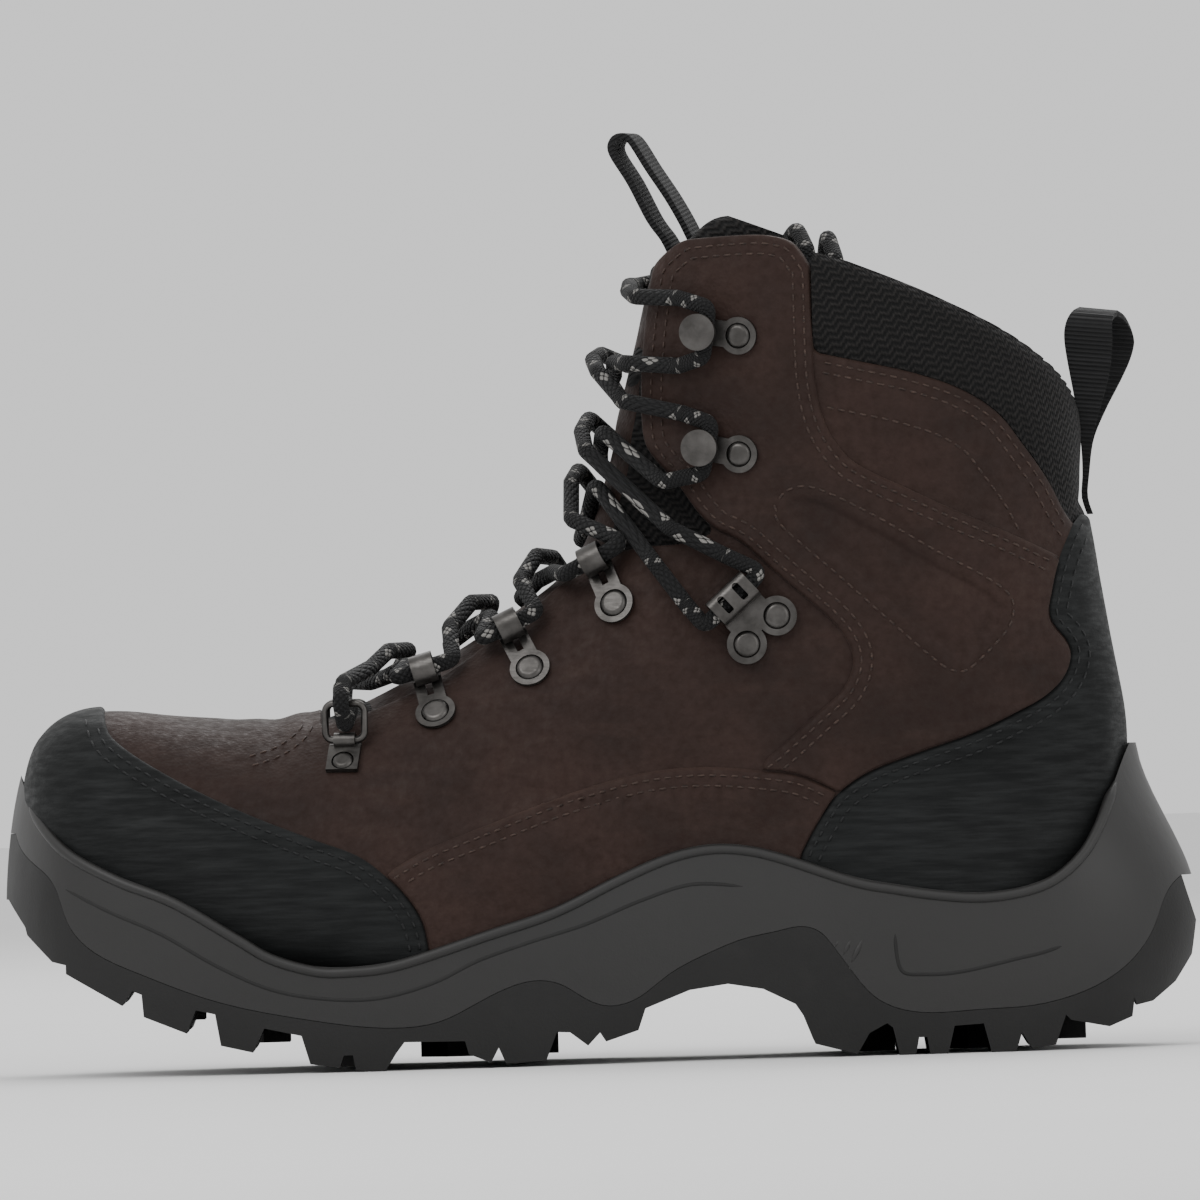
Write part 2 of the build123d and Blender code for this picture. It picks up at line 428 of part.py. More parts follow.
WEB_HOOKS = [(-41.2, 92.3, -44.5, 104.0), (-16.3, 103.1, -22.0, 115.5), (6.2, 119.4, 0.5, 131.0)]
SPEED_HOOKS = [(39.8, 157.5, 28.6, 159.9), (40.5, 188.3, 28.0, 190.0)]
LOCK = (44.2, 111.5, 37.0, 119.5)
RING_TAB = (-65.7, 79.9, -65.6, 91.2)
for side, name in SIDES:
    heads = []
    for number, place in enumerate(WEB_HOOKS, 1):
        at = seat(*place, side, LEATHER_OUT)
        heads.append(rivet(at))
        with BuildPart() as hook:
            with BuildSketch(at.offset(0.35)):
                Circle(5.3)
                with Locations((6.5, 0)):
                    Rectangle(12.6, 7.4)
                Circle(3.75, mode=Mode.SUBTRACT)
                with Locations((8.2, 0)):
                    Rectangle(4.6, 1.8, mode=Mode.SUBTRACT)
            extrude(amount=0.9)
            tunnel = Plane(at.from_local_coords((12.5, 0, 4.2)), x_dir=at.x_dir, z_dir=at.y_dir)
            with BuildSketch(tunnel):
                Circle(4.0)
            extrude(amount=3.0, both=True)
            with BuildSketch(tunnel):
                Circle(3.1)
            extrude(amount=6, both=True, mode=Mode.SUBTRACT)
        piece(hook.part, f"web_hook_{number}_{name}")
    piece(Part() + heads, f"web_hook_rivets_{name}")

    heads = []
    for number, place in enumerate(SPEED_HOOKS, 1):
        at = seat(*place, side, OVERLAY_OUT)
        heads.append(rivet(at, r=3.2))
        with BuildPart() as hook:
            with BuildSketch(at.offset(0.2)):
                Circle(4.9)
                with Locations((6.1, 0)):
                    Rectangle(12.2, 6.8)
                Circle(3.35, mode=Mode.SUBTRACT)
            extrude(amount=0.9)
            with BuildSketch(at.offset(0.2)):
                with Locations((11.6, 0)):
                    Rectangle(1.2, 6.8)
            extrude(amount=7.0)
            with BuildSketch(at.offset(6.4)):
                with Locations((9.3, 0)):
                    Circle(4.8)
            extrude(amount=1.3)
        piece(hook.part, f"speed_hook_{number}_{name}")
    piece(Part() + heads, f"speed_hook_rivets_{name}")

    at = seat(*LOCK, side, OVERLAY_OUT)
    with BuildPart() as lock:
        with BuildSketch(at.offset(0.2)):
            with Locations((0, -5.4), (0, 5.4)):
                Circle(5.2)
            with Locations((7.2, 0)):
                Rectangle(14.4, 12.4)
            with Locations((0, -5.4), (0, 5.4)):
                Circle(3.55, mode=Mode.SUBTRACT)
        extrude(amount=0.9)
        across = Plane(at.from_local_coords((10.8, 0, 3.9)), x_dir=at.x_dir, z_dir=at.y_dir)
        with BuildSketch(across):
            RectangleRounded(7.8, 7.4, 2.2)
        extrude(amount=6.2, both=True)
        with BuildSketch(across):
            RectangleRounded(5.8, 5.4, 2.2)
        extrude(amount=9, both=True, mode=Mode.SUBTRACT)
        with BuildSketch(at.offset(6.0)):
            with Locations((10.8, -2.6), (10.8, 2.6)):
                SlotOverall(5.4, 2.0)
        extrude(amount=3, mode=Mode.SUBTRACT)
    piece(lock.part, f"lace_lock_{name}")
    piece(Part() + [rivet(at, 0, -5.4, 3.4), rivet(at, 0, 5.4, 3.4)], f"lace_lock_rivets_{name}")

    at = seat(*RING_TAB, side, LEATHER_OUT)
    with BuildPart() as tab:
        with BuildSketch(at.offset(0.15)):
            with Locations((1.8, 0)):
                Rectangle(9.6, 8.4)
            Circle(2.95, mode=Mode.SUBTRACT)
        extrude(amount=1.4)
        fold = Plane(at.from_local_coords((6.5, 0, 2.05)), x_dir=at.x_dir, z_dir=at.y_dir)
        with BuildSketch(fold):
            Circle(1.9)
        extrude(amount=2.8, both=True)
        with BuildSketch(fold):
            Circle(1.2)
        extrude(amount=6, both=True, mode=Mode.SUBTRACT)
    piece(tab.part, f"ring_tab_{name}")
    piece(rivet(at, r=2.8), f"ring_tab_rivet_{name}")
    tilt = math.radians(40)
    lean = at.x_dir * math.cos(tilt) + at.z_dir * math.sin(tilt)
    ring_plane = Plane(fold.origin + lean * 4.75, x_dir=lean, z_dir=lean.cross(at.y_dir))
    with BuildSketch(ring_plane) as ring_shape:
        RectangleRounded(9.5, 10.4, 2.2)
    ring_path = ring_shape.sketch.faces()[0].outer_wire()
    with BuildPart() as ring:
        with BuildSketch(Plane(ring_path @ 0, z_dir=ring_path % 0)):
            Circle(0.9)
        sweep(path=ring_path)
    piece(ring.part, f"lace_ring_{name}")
    print("ring pivot", name, [round(v, 2) for v in fold.origin], [round(v, 4) for v in at.y_dir])

# ---- webbing loops ----
LOOP_OUTER = [(22.8, 211.7), (18.3, 219.1), (13.4, 229.0), (8.9, 237.7), (9.6, 240.9), (12.5, 242.6), (16.4, 241.4),
              (21.4, 234.0), (26.4, 226.0), (29.5, 219.0)]
LOOP_INNER = [(23.4, 219.0), (21.0, 228.0), (18.3, 235.0), (15.7, 238.3), (13.0, 238.0), (14.8, 230.5), (18.8, 223.0)]
with BuildPart() as tongue_loop:
    with BuildSketch(Plane.XZ):
        add(region(LOOP_OUTER, [(26.0, 211.0)]))
        add(region(LOOP_INNER), mode=Mode.SUBTRACT)
    extrude(amount=6.5, both=True)
    add(last_solid(LINING_OUT + 0.9), mode=Mode.SUBTRACT)
piece(tongue_loop.part, "tongue_loop")
HEEL_LOOP = [(129.0, 150.9), (127.9, 158.8), (125.6, 177.2), (125.0, 187.7), (127.5, 193.6), (135.5, 193.4),
             (143.3, 191.8), (145.2, 185.8), (142.8, 176.7), (137.3, 166.4), (133.5, 158.7), (131.5, 150.0)]
with BuildPart() as heel_loop:
    with BuildSketch(Plane.XZ):
        add(region(HEEL_LOOP))
    extrude(amount=8.5, both=True)
    with BuildSketch(Plane.XZ):
        add(polygon((100, 140), (160, 140), (160, 188.5), (100, 190.0)))
    extrude(amount=6.6, both=True, mode=Mode.SUBTRACT)
    add(last_solid(OVERLAY_OUT + 0.8), mode=Mode.SUBTRACT)
piece(heel_loop.part, "heel_loop")

# ---- the lace: one round braid, out of the shaft, down the throat side to side, up again and back in ----
# each bend: x, y, z, bend radius; the straight runs between are joined by tangent arcs
LACE_ROUTE = [
    (61.5, 23.5, 130.0, 4.0), (60.0, 24.5, 182.0, 4.0), (59.5, 30.0, 211.0, 4.0),
    (57.0, 38.5, 217.0, 4.0), (53.0, 44.6, 211.0, 4.0), (44.0, 41.5, 208.6, 4.0),
    (33.0, 37.7, 206.2, 4.0), (14.3, 24.0, 202.9, 4.0), (12.4, 13.0, 202.8, 4.0),
    (13.0, 0.0, 201.1, 4.0), (12.0, -13.0, 201.1, 4.0), (13.7, -24.0, 199.4, 4.0),
    (25.0, -34.2, 198.6, 4.0), (32.7, -38.7, 195.9, 2.6), (30.9, -37.7, 182.9, 2.6),
    (24.5, -34.2, 180.9, 4.0), (11.3, -24.0, 182.1, 4.0), (7.8, -13.0, 182.5, 4.0),
    (7.7, 0.0, 179.1, 3.0), (6.7, 13.0, 177.5, 4.0), (9.8, 24.0, 172.4, 4.0), (25.0, 34.1, 168.6, 4.0),
    (32.7, 37.5, 165.6, 2.6), (29.9, 36.4, 152.7, 2.6), (19.5, 33.1, 150.8, 4.0),
    (0.9, 14.0, 168.4, 4.0), (-1.2, 0.0, 164.8, 3.0), (-0.3, -13.0, 159.8, 4.0),
    (21.0, -34.9, 138.8, 4.0), (35.0, -38.4, 131.3, 4.0), (44.5, -39.9, 126.6, 2.6),
    (29.3, -40.7, 113.0, 2.6), (24.5, -38.3, 119.0, 4.0), (16.4, -35.8, 130.2, 4.0),
    (2.0, -11.5, 150.9, 4.0), (-0.4, 0.0, 142.0, 3.0), (-2.3, 14.5, 136.5, 4.0),
    (9.0, 28.9, 135.4, 2.4), (-6.9, 25.2, 127.6, 2.4), (-9.7, 13.0, 132.1, 4.0),
    (-14.0, 0.0, 132.7, 3.0), (-18.4, -13.0, 126.2, 4.0), (-14.2, -26.4, 118.1, 2.4),
    (-29.3, -27.1, 111.2, 2.4), (-26.0, -13.0, 117.2, 4.0), (-31.6, 0.0, 114.4, 3.0),
    (-37.3, 13.0, 110.4, 4.0), (-36.8, 25.8, 106.2, 2.4), (-52.2, 25.8, 101.9, 2.4),
    (-48.1, 13.0, 109.0, 4.0), (-53.5, 0.0, 108.9, 3.0), (-58.1, -12.0, 104.7, 4.0),
    (-65.1, -33.7, 101.2, 2.6), (-66.1, -38.8, 96.3, 2.6), (-65.1, -33.0, 89.6, 2.6),
    (-63.7, -26.0, 93.7, 2.6), (-66.0, -14.0, 97.0, 6.0), (-66.2, 0.0, 99.6, 6.0),
    (-66.4, 14.0, 97.0, 6.0), (-64.4, 27.0, 93.8, 2.6), (-65.3, 34.1, 89.6, 2.6),
    (-65.9, 40.0, 96.2, 2.6), (-65.3, 34.9, 101.2, 2.6), (-58.3, 12.0, 100.8, 4.0),
    (-53.8, 0.0, 102.3, 3.0), (-48.3, -13.0, 105.2, 4.0), (-51.9, -25.4, 101.8, 2.4),
    (-36.5, -26.2, 106.2, 2.4), (-37.2, -13.0, 114.5, 4.0), (-31.4, 0.0, 121.0, 3.0),
    (-25.9, 13.0, 121.0, 4.0), (-29.8, 26.4, 111.0, 2.4), (-13.9, 25.4, 118.3, 2.4),
    (-18.4, 13.0, 121.9, 4.0), (-13.9, 0.0, 126.1, 3.0), (-9.6, -13.0, 128.2, 4.0),
    (-6.5, -26.2, 127.7, 2.4), (9.2, -29.6, 135.4, 2.4), (-4.6, -14.5, 141.9, 4.0),
    (-4.3, 0.0, 151.6, 3.0), (-2.2, 11.5, 155.0, 4.0), (16.2, 34.4, 129.6, 4.0),
    (24.5, 37.6, 119.0, 4.0), (29.2, 40.0, 112.9, 2.6), (44.4, 39.8, 126.6, 2.6),
    (35.0, 38.2, 131.3, 4.0), (21.0, 34.6, 138.8, 4.0), (3.4, 13.0, 156.2, 4.0),
    (3.4, 0.0, 158.8, 3.0), (4.3, -14.0, 164.6, 4.0), (19.5, -33.2, 150.8, 4.0),
    (29.9, -36.4, 152.7, 2.6), (32.7, -37.5, 165.6, 2.6), (25.0, -34.1, 168.6, 4.0),
    (9.8, -24.0, 172.3, 4.0), (3.5, -13.0, 180.2, 4.0), (2.3, 0.0, 183.5, 3.0),
    (4.6, 13.0, 185.0, 4.0), (11.3, 24.0, 182.1, 4.0), (24.5, 34.2, 180.9, 4.0),
    (30.9, 37.7, 182.9, 2.6), (32.7, 38.7, 195.9, 2.6), (42.0, 41.0, 199.5, 4.0),
    (55.0, 43.8, 202.0, 4.0), (64.0, 45.6, 207.0, 4.0), (65.0, 38.5, 215.0, 4.0),
    (67.0, 28.5, 208.0, 4.0), (68.5, 24.5, 180.0, 4.0), (70.5, 22.5, 125.0, 4.0),
]
with BuildPart() as lace:
    with BuildLine() as lace_line:
        FilletPolyline(*[point[:3] for point in LACE_ROUTE], radius=[point[3] for point in LACE_ROUTE[1:-1]])
    lace_wire = lace_line.wires()[0]
    with BuildSketch(Plane(lace_wire @ 0, z_dir=lace_wire % 0)):
        Circle(LACE_R)
    sweep(path=lace_wire, transition=Transition.ROUND)
piece(lace.part, "lace")
print("lace length", round(lace_wire.length, 1), "volume", round(lace.part.volume),
      "section x length", round(math.pi * LACE_R ** 2 * lace_wire.length),
      "bend radii", sorted({point[3] for point in LACE_ROUTE}))
for end, name in ((0, "start"), (-1, "end")):
    tip, rest = Vector(*LACE_ROUTE[end][:3]), Vector(*LACE_ROUTE[1 if end == 0 else -2][:3])
    with BuildPart() as sleeve:
        with BuildSketch(Plane(tip, z_dir=rest - tip)):
            Circle(LACE_R + 0.5)
            Circle(LACE_R + 0.1, mode=Mode.SUBTRACT)
        extrude(amount=22.0)
    piece(sleeve.part, f"lace_tip_{name}")

for solid in PIECES:
    print(solid.label, len(solid.solids()), round(solid.volume), solid.is_valid)
    export_step(solid, f"parts/{solid.label}.step")
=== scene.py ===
"""Hiking boot, left foot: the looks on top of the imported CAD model.

Row frame in metres: +Z up, toe towards -X, outer side of the foot towards -Y. Outlines are in mm.
"""

import math

import bmesh
import bpy
import numpy as np
from mathutils import Matrix, Vector
from mathutils.bvhtree import BVHTree


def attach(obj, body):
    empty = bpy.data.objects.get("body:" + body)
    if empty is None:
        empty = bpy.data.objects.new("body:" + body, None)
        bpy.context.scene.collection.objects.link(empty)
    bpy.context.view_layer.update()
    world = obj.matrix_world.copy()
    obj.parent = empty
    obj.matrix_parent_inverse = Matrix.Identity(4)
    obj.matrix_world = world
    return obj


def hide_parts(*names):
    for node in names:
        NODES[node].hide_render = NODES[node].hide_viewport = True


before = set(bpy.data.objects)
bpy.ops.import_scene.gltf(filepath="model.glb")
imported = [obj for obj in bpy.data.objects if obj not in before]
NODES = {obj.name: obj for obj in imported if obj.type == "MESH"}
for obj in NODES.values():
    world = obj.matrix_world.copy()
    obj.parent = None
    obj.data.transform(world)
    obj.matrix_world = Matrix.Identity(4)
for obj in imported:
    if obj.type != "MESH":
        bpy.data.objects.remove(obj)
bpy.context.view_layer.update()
MM = 0.001

# ---- camera: long lens square on to the outer side, the boot tipped 1.7 degrees up at the heel ----
LENS_DISTANCE = 6.0
VIEW_WIDTH = 0.3142  # metres of the object plane across the picture
VIEW_CENTRE_X, VIEW_CENTRE_Z = 0.0023, 0.1206
SENSOR_WIDTH = 36.0
TILT = math.radians(1.7)
camera_data = bpy.data.cameras.new("camera")
camera = bpy.data.objects.new("camera", camera_data)
bpy.context.scene.collection.objects.link(camera)
camera_data.sensor_width = SENSOR_WIDTH
camera_data.lens = SENSOR_WIDTH * LENS_DISTANCE / VIEW_WIDTH
camera_data.clip_end = 50.0
camera.matrix_world = (
    Matrix.Translation((VIEW_CENTRE_X, -LENS_DISTANCE, VIEW_CENTRE_Z))
    @ Matrix.Rotation(TILT, 4, "Y")
    @ Matrix.Rotation(math.pi / 2, 4, "X")
)
bpy.context.scene.camera = camera


# ---- the last and the layers, as in the CAD ----
OVERLAY, LEATHER, LEATHER_IN, LINING_OUT, LINING_IN = 1.4, 0.0, -1.6, -2.95, -6.2  # mm out from the last
# each section: bottom x and z, top x and z, middle y, half width outer and inner, height of the widest
# place as a share, power of the curve below and above it
STATIONS = [
    (-147.0, 60.0, -148.5, 76.0, 7.0, 13.0, 13.0, 0.50, 2.3, 2.3),
    (-145.0, 51.0, -145.0, 87.0, 6.5, 27.0, 25.5, 0.45, 2.5, 2.4),
    (-138.5, 42.0, -136.5, 93.8, 6.0, 37.5, 34.5, 0.40, 2.9, 2.4),
    (-124.0, 34.0, -121.5, 95.0, 5.0, 45.0, 41.0, 0.36, 3.2, 2.4),
    (-102.0, 27.0, -99.0, 92.6, 3.0, 49.0, 46.0, 0.32, 3.4, 2.3),
    (-76.0, 22.0, -73.0, 93.8, 1.5, 50.5, 48.5, 0.30, 3.4, 2.1),
    (-50.0, 20.5, -46.5, 105.0, 0.5, 48.5, 47.0, 0.28, 3.4, 2.0),
    (-22.0, 23.5, -21.5, 120.0, 0.0, 44.0, 42.5, 0.27, 3.4, 2.0),
    (10.0, 29.0, -4.0, 134.5, 0.0, 40.5, 39.0, 0.28, 3.2, 2.1),
    (95.0, 39.0, 4.0, 158.0, 0.0, 37.0, 36.5, 0.38, 2.6, 2.5),
    (127.0, 49.0, 6.0, 169.0, 0.0, 36.5, 36.5, 0.44, 2.3, 2.6),
    (137.8, 74.0, 8.6, 179.0, 0.0, 37.0, 37.0, 0.46, 2.2, 2.6),
    (136.0, 100.0, 11.5, 190.0, 0.0, 37.5, 37.5, 0.48, 2.2, 2.7),
    (131.5, 127.0, 14.0, 200.5, 0.0, 38.5, 38.5, 0.48, 2.2, 2.7),
    (128.5, 154.0, 17.5, 212.0, 0.0, 39.5, 39.5, 0.48, 2.3, 2.7),
    (130.0, 184.0, 22.5, 226.0, 0.0, 40.0, 40.0, 0.48, 2.3, 2.7),
]


def hermite(rows, t):
    """Smooth rows between the given ones at places t."""
    rows = np.asarray(rows, float)
    last = len(rows) - 1
    i = np.clip(t.astype(int), 0, last - 1)
    f = (t - i)[:, None]
    a, b, c, d = (rows[np.clip(i + k, 0, last)] for k in (-1, 0, 1, 2))
    m0, m1 = (c - a) / 2, (d - b) / 2
    return ((2 * f**3 - 3 * f**2 + 1) * b + (f**3 - 2 * f**2 + f) * m0
            + (3 * f**2 - 2 * f**3) * c + (f**3 - f**2) * m1)


def curve(points, steps=6):
    """A smooth outline through the points."""
    t = np.linspace(0, len(points) - 1, (len(points) - 1) * steps + 1)
    return hermite(points, np.minimum(t, len(points) - 1 - 1e-9))


def station(t, depth):
    """Section rows at places t, moved outwards by depth."""
    xb, zb, xt, zt, yc, wl, wm, h, nb, nt = hermite(STATIONS, t).T
    run = np.hypot(xt - xb, zt - zb)
    ex, ez = (xt - xb) / run, (zt - zb) / run
    pull = -depth * np.maximum(0.0, 1 - t / 4) ** 1.5
    bottom_x, bottom_z = xb + pull - ex * depth, zb - ez * depth
    return bottom_x, bottom_z, ex, ez, run + 2 * depth, yc, wl + depth, wm + depth, h, nb, nt


def plain_surface(t, phi, depth):
    """Points of a layer: t along the stations, phi round the section from the ridge, + to the inner side."""
    xb, zb, ex, ez, run, yc, wl, wm, h, nb, nt = station(t, depth)
    c, s = np.cos(phi), np.sin(phi)
    n = np.where(c > 0, nt, nb)
    r = (np.abs(c) ** n + np.abs(s) ** n) ** (-1 / n)
    along = run * (h + r * c * np.where(c > 0, 1 - h, h))
    y = yc + r * s * np.where(s > 0, wm, wl)
    return np.stack([xb + ex * along, y, zb + ez * along], 1)


# ---- seams, seen from the side ----
FEATHER = [(-150.8, 79.2), (-147.5, 71.0), (-139.3, 60.6), (-125.4, 52.6), (-111.0, 46.6), (-95.0, 36.8),
           (-86.0, 31.3), (-74.8, 27.8), (-66.0, 27.3), (-52.8, 28.7), (-28.7, 35.9), (-11.8, 41.1),
           (5.2, 49.0), (17.9, 54.1), (27.9, 56.2), (37.1, 55.9), (47.0, 53.5), (65.6, 46.9),
           (76.8, 44.5), (88.0, 42.6), (99.5, 41.7), (110.8, 43.0), (119.0, 46.1), (126.0, 52.0),
           (130.5, 59.0), (134.5, 68.0), (139.5, 79.2)]
TOE_EDGE = [(-128.5, 97.5), (-127.4, 91.2), (-124.9, 87.2), (-117.0, 81.4), (-103.6, 73.7), (-88.9, 66.7),
            (-73.8, 60.5), (-62.7, 56.0), (-55.5, 50.5), (-50.2, 44.9), (-46.2, 37.9), (-44.3, 28.0)]
MUD_TOP = [(-55.0, 51.4), (-44.9, 57.0), (-27.9, 63.3), (-11.0, 69.4), (5.9, 74.1), (18.6, 76.1),
           (30.9, 76.3), (43.4, 75.1), (53.3, 73.2), (62.9, 68.5)]
HEEL_EDGE = [(52.5, 52.8), (55.4, 58.2), (59.3, 64.2), (62.9, 68.5), (71.1, 73.8), (84.6, 78.6), (98.1, 82.9),
             (108.2, 87.3), (117.0, 91.8), (122.4, 96.9), (124.6, 102.8), (123.2, 107.0),
             (119.9, 111.0), (119.0, 114.5), (119.9, 118.9), (122.0, 127.0), (125.8, 135.8), (128.5, 139.3)]
FACING_FRONT = [(22.8, 210.6), (19.3, 206.5), (17.7, 198.7), (16.1, 188.3), (14.9, 173.9), (15.2, 162.0),
                (18.2, 156.0), (23.2, 150.5), (27.9, 143.4), (32.4, 138.4), (39.4, 134.5), (45.8, 128.5),
                (52.4, 122.5), (58.8, 116.8), (64.1, 111.4), (67.2, 105.8), (67.2, 100.6), (64.4, 95.2),
                (58.0, 89.6), (47.8, 81.0), (42.0, 76.6)]
FACING_TOP = [(22.8, 210.6), (27.1, 213.4), (32.9, 214.1), (44.7, 214.5), (50.4, 213.9), (55.1, 212.0),
              (59.3, 206.0)]
FACING_BACK = [(59.7, 205.0), (59.7, 183.6), (60.2, 174.5), (61.8, 166.2), (65.0, 159.6), (70.4, 153.9),
               (83.8, 147.0), (97.0, 140.6), (110.1, 134.7), (121.0, 129.2)]
CUFF_TOP = [(59.7, 183.6), (71.2, 180.9), (84.7, 177.6), (97.9, 172.8), (107.7, 166.2), (114.0, 158.1),
            (120.5, 148.5), (126.0, 138.0), (134.0, 130.0)]
COLLAR_TOP = [(57.4, 210.6), (69.1, 206.9), (88.5, 198.7), (109.1, 188.1), (121.9, 178.6), (128.2, 170.5),
              (131.5, 161.3), (130.5, 150.9), (129.5, 141.8)]
THROAT = [(-71.0, 90.6), (-60.0, 93.6), (-48.9, 98.0), (-34.8, 105.6), (-16.0, 119.4), (-6.0, 127.0),
          (4.0, 132.5), (13.2, 134.6), (24.0, 135.2), (31.5, 138.0)]
THROAT_LEATHER = THROAT + [(27.9, 143.4), (23.2, 150.5), (18.2, 156.0), (15.2, 162.0), (14.9, 173.9),
                           (16.1, 188.3), (17.7, 198.7), (19.3, 206.5), (22.8, 210.6)]
TONGUE_BACK = [(-73.5, 84.5), (-60.0, 86.0), (-46.0, 89.5), (-30.0, 96.5), (-10.0, 109.5), (4.0, 118.5),
               (20.0, 125.0), (32.0, 131.0), (38.0, 140.0), (34.0, 150.0), (28.5, 160.0), (26.5, 175.0),
               (28.0, 190.0), (32.0, 199.5), (41.0, 203.0), (52.0, 204.0)]
TONGUE_TOP = [(52.0, 217.3), (43.3, 220.2), (36.7, 220.9), (31.5, 220.0), (26.1, 216.0), (19.0, 209.0)]
VAMP_BACK = [(34.5, 146.0), (62.0, 127.0), (76.0, 106.0), (60.0, 80.0), (50.0, 50.0), (50.0, 5.0)]
PANEL = [(51.5, 143.2), (54.1, 145.5), (59.6, 144.8), (73.0, 137.9), (89.2, 128.0), (99.3, 122.4),
         (105.7, 118.0), (106.9, 114.9), (105.0, 110.7), (97.2, 103.1), (94.5, 102.4), (90.7, 104.9),
         (78.9, 115.7), (65.9, 127.9), (52.9, 139.8), (51.5, 143.2)]


def outline(*runs):
    """A closed outline: runs of three or more points are smooth, and straight lines join the runs."""
    return np.concatenate([curve(run) if len(run) > 2 else np.asarray(run, float) for run in runs])


def distance(points, line, closed=True):
    """Distance of (x, z) points from an outline, positive inside it when it is closed."""
    a = line
    b = np.roll(line, -1, 0) if closed else line[1:]
    a = a if closed else line[:-1]
    best = np.full(len(points), 1e9)
    inside = np.zeros(len(points), bool)
    for (ax, az), (bx, bz) in zip(a, b):
        dx, dz = bx - ax, bz - az
        if dx == dz == 0:
            continue
        px, pz = points[:, 0] - ax, points[:, 1] - az
        f = np.clip((px * dx + pz * dz) / (dx * dx + dz * dz), 0, 1)
        best = np.minimum(best, np.hypot(px - f * dx, pz - f * dz))
        if dz:
            inside ^= ((az > points[:, 1]) != (bz > points[:, 1])) & (px < dx * pz / dz)
    return np.where(inside, best, -best) if closed else best


TOE = outline(TOE_EDGE, [(-44.3, 10.0), (-170.0, 10.0)], [(-170.0, 110.0), (-128.5, 110.0)])
HEEL = outline(HEEL_EDGE, [(150.0, 139.3), (150.0, 10.0)], [(52.5, 10.0)])
MUD = outline(MUD_TOP, [(64.0, 10.0), (-60.0, 10.0)])
UNDER_LIP = 2.6  # the leather runs this far down behind the lip of the midsole
ABOVE_SOLE = outline([(x, z - UNDER_LIP) for x, z in FEATHER], [(170.0, 79.2 - UNDER_LIP), (170.0, 260.0)],
                     [(-170.0, 260.0), (-170.0, 79.2 - UNDER_LIP)])
FACING = outline(FACING_FRONT, [(42.0, 60.0), (125.0, 80.0)], [(126.0, 126.5), (121.0, 129.2)],
                 list(reversed(FACING_BACK))[1:], list(reversed(FACING_TOP)))
LEATHER_AREA = outline([(-170.0, 10.0), (-170.0, 110.0)], [(-71.0, 110.0)], THROAT_LEATHER,
                       FACING_TOP[1:], CUFF_TOP, [(150.0, 130.0), (150.0, 10.0)])
VAMP_FRONT = [(-175.0, 5.0), (-175.0, 120.0)]
VAMP = outline(VAMP_FRONT, [(-20.0, 146.0)], VAMP_BACK[:2], VAMP_BACK[2:4], VAMP_BACK[4:])
COLLAR = outline(CUFF_TOP, [(145.0, 128.0), (145.0, 141.8)], list(reversed(COLLAR_TOP))[:-1], [(60.2, 209.6)])
TONGUE = outline(TONGUE_BACK, TONGUE_TOP, [(0.0, 215.0), (-90.0, 130.0)], [(-73.5, 100.0)])

# ---- the grid all panels are cut from: the plain sections, then a correction to the CAD leather ----
SPACING = 1.3  # mm
places = []
for i in range(len(STATIONS) - 1):
    a, b = np.array(STATIONS[i]), np.array(STATIONS[i + 1])
    step = max(np.hypot(*(a[:2] - b[:2])), np.hypot(*(a[2:4] - b[2:4])))
    places.extend(i + np.arange(0, 1, 1 / max(3, round(step / SPACING))))
GRID_T = np.array(places + [len(STATIONS) - 1.0001])
GRID_PHI = np.linspace(-math.pi, math.pi, 231)


def tree_of(objects):
    """A search tree over the faces of some meshes."""
    verts, faces = [], []
    for obj in objects:
        start = len(verts)
        verts.extend(v.co for v in obj.data.vertices)
        faces.extend([start + k for k in p.vertices] for p in obj.data.polygons)
    return BVHTree.FromPolygons(verts, faces)


RAY_FROM, RAY_LENGTH, OFF_MOST = 25.0, 0.037, 20.0  # mm outside the last, metres, mm
SPREAD_STEPS, SPREAD_FADE, SMOOTH_STEPS = 40, 0.985, 6


def grown_to_cad():
    """How far the CAD leather stands off the plain surface at each grid place, in mm, evened out."""
    tree = tree_of([NODES[n] for n in ("vamp", "quarter_lateral", "quarter_medial", "insole_board")])
    tt, pp = (v.ravel() for v in np.meshgrid(GRID_T, GRID_PHI, indexing="ij"))
    low, high = plain_surface(tt, pp, np.full_like(tt, -12.0)), plain_surface(tt, pp, np.full_like(tt, 0.0))
    way = high - low
    way /= np.linalg.norm(way, axis=1)[:, None]
    off = np.full(len(tt), np.nan)
    for k, (p, d) in enumerate(zip(high, way)):
        hit = tree.ray_cast(Vector(p + d * RAY_FROM) * MM, Vector(-d), RAY_LENGTH)[0]
        if hit is not None:
            off[k] = (np.array(hit) / MM - p) @ d
    off = off.reshape(len(GRID_T), len(GRID_PHI))
    known = ~np.isnan(off) & (np.abs(off) < OFF_MOST)
    value = np.where(known, off, 0.0)
    neighbours = ((1, 0), (-1, 0), (0, 1), (0, -1))
    for _ in range(SPREAD_STEPS):  # spread into the throat and the collar, fading out
        mean = sum(np.roll(value, step, (0, 1)) for step in neighbours) / len(neighbours)
        value = np.where(known, value, mean * SPREAD_FADE)
    for _ in range(SMOOTH_STEPS):
        value = (value + np.roll(value, 1, 1) + np.roll(value, -1, 1)) / 3
        value[1:-1] = (value[:-2] + value[1:-1] + value[2:]) / 3
    return value


OFF_CAD = grown_to_cad()


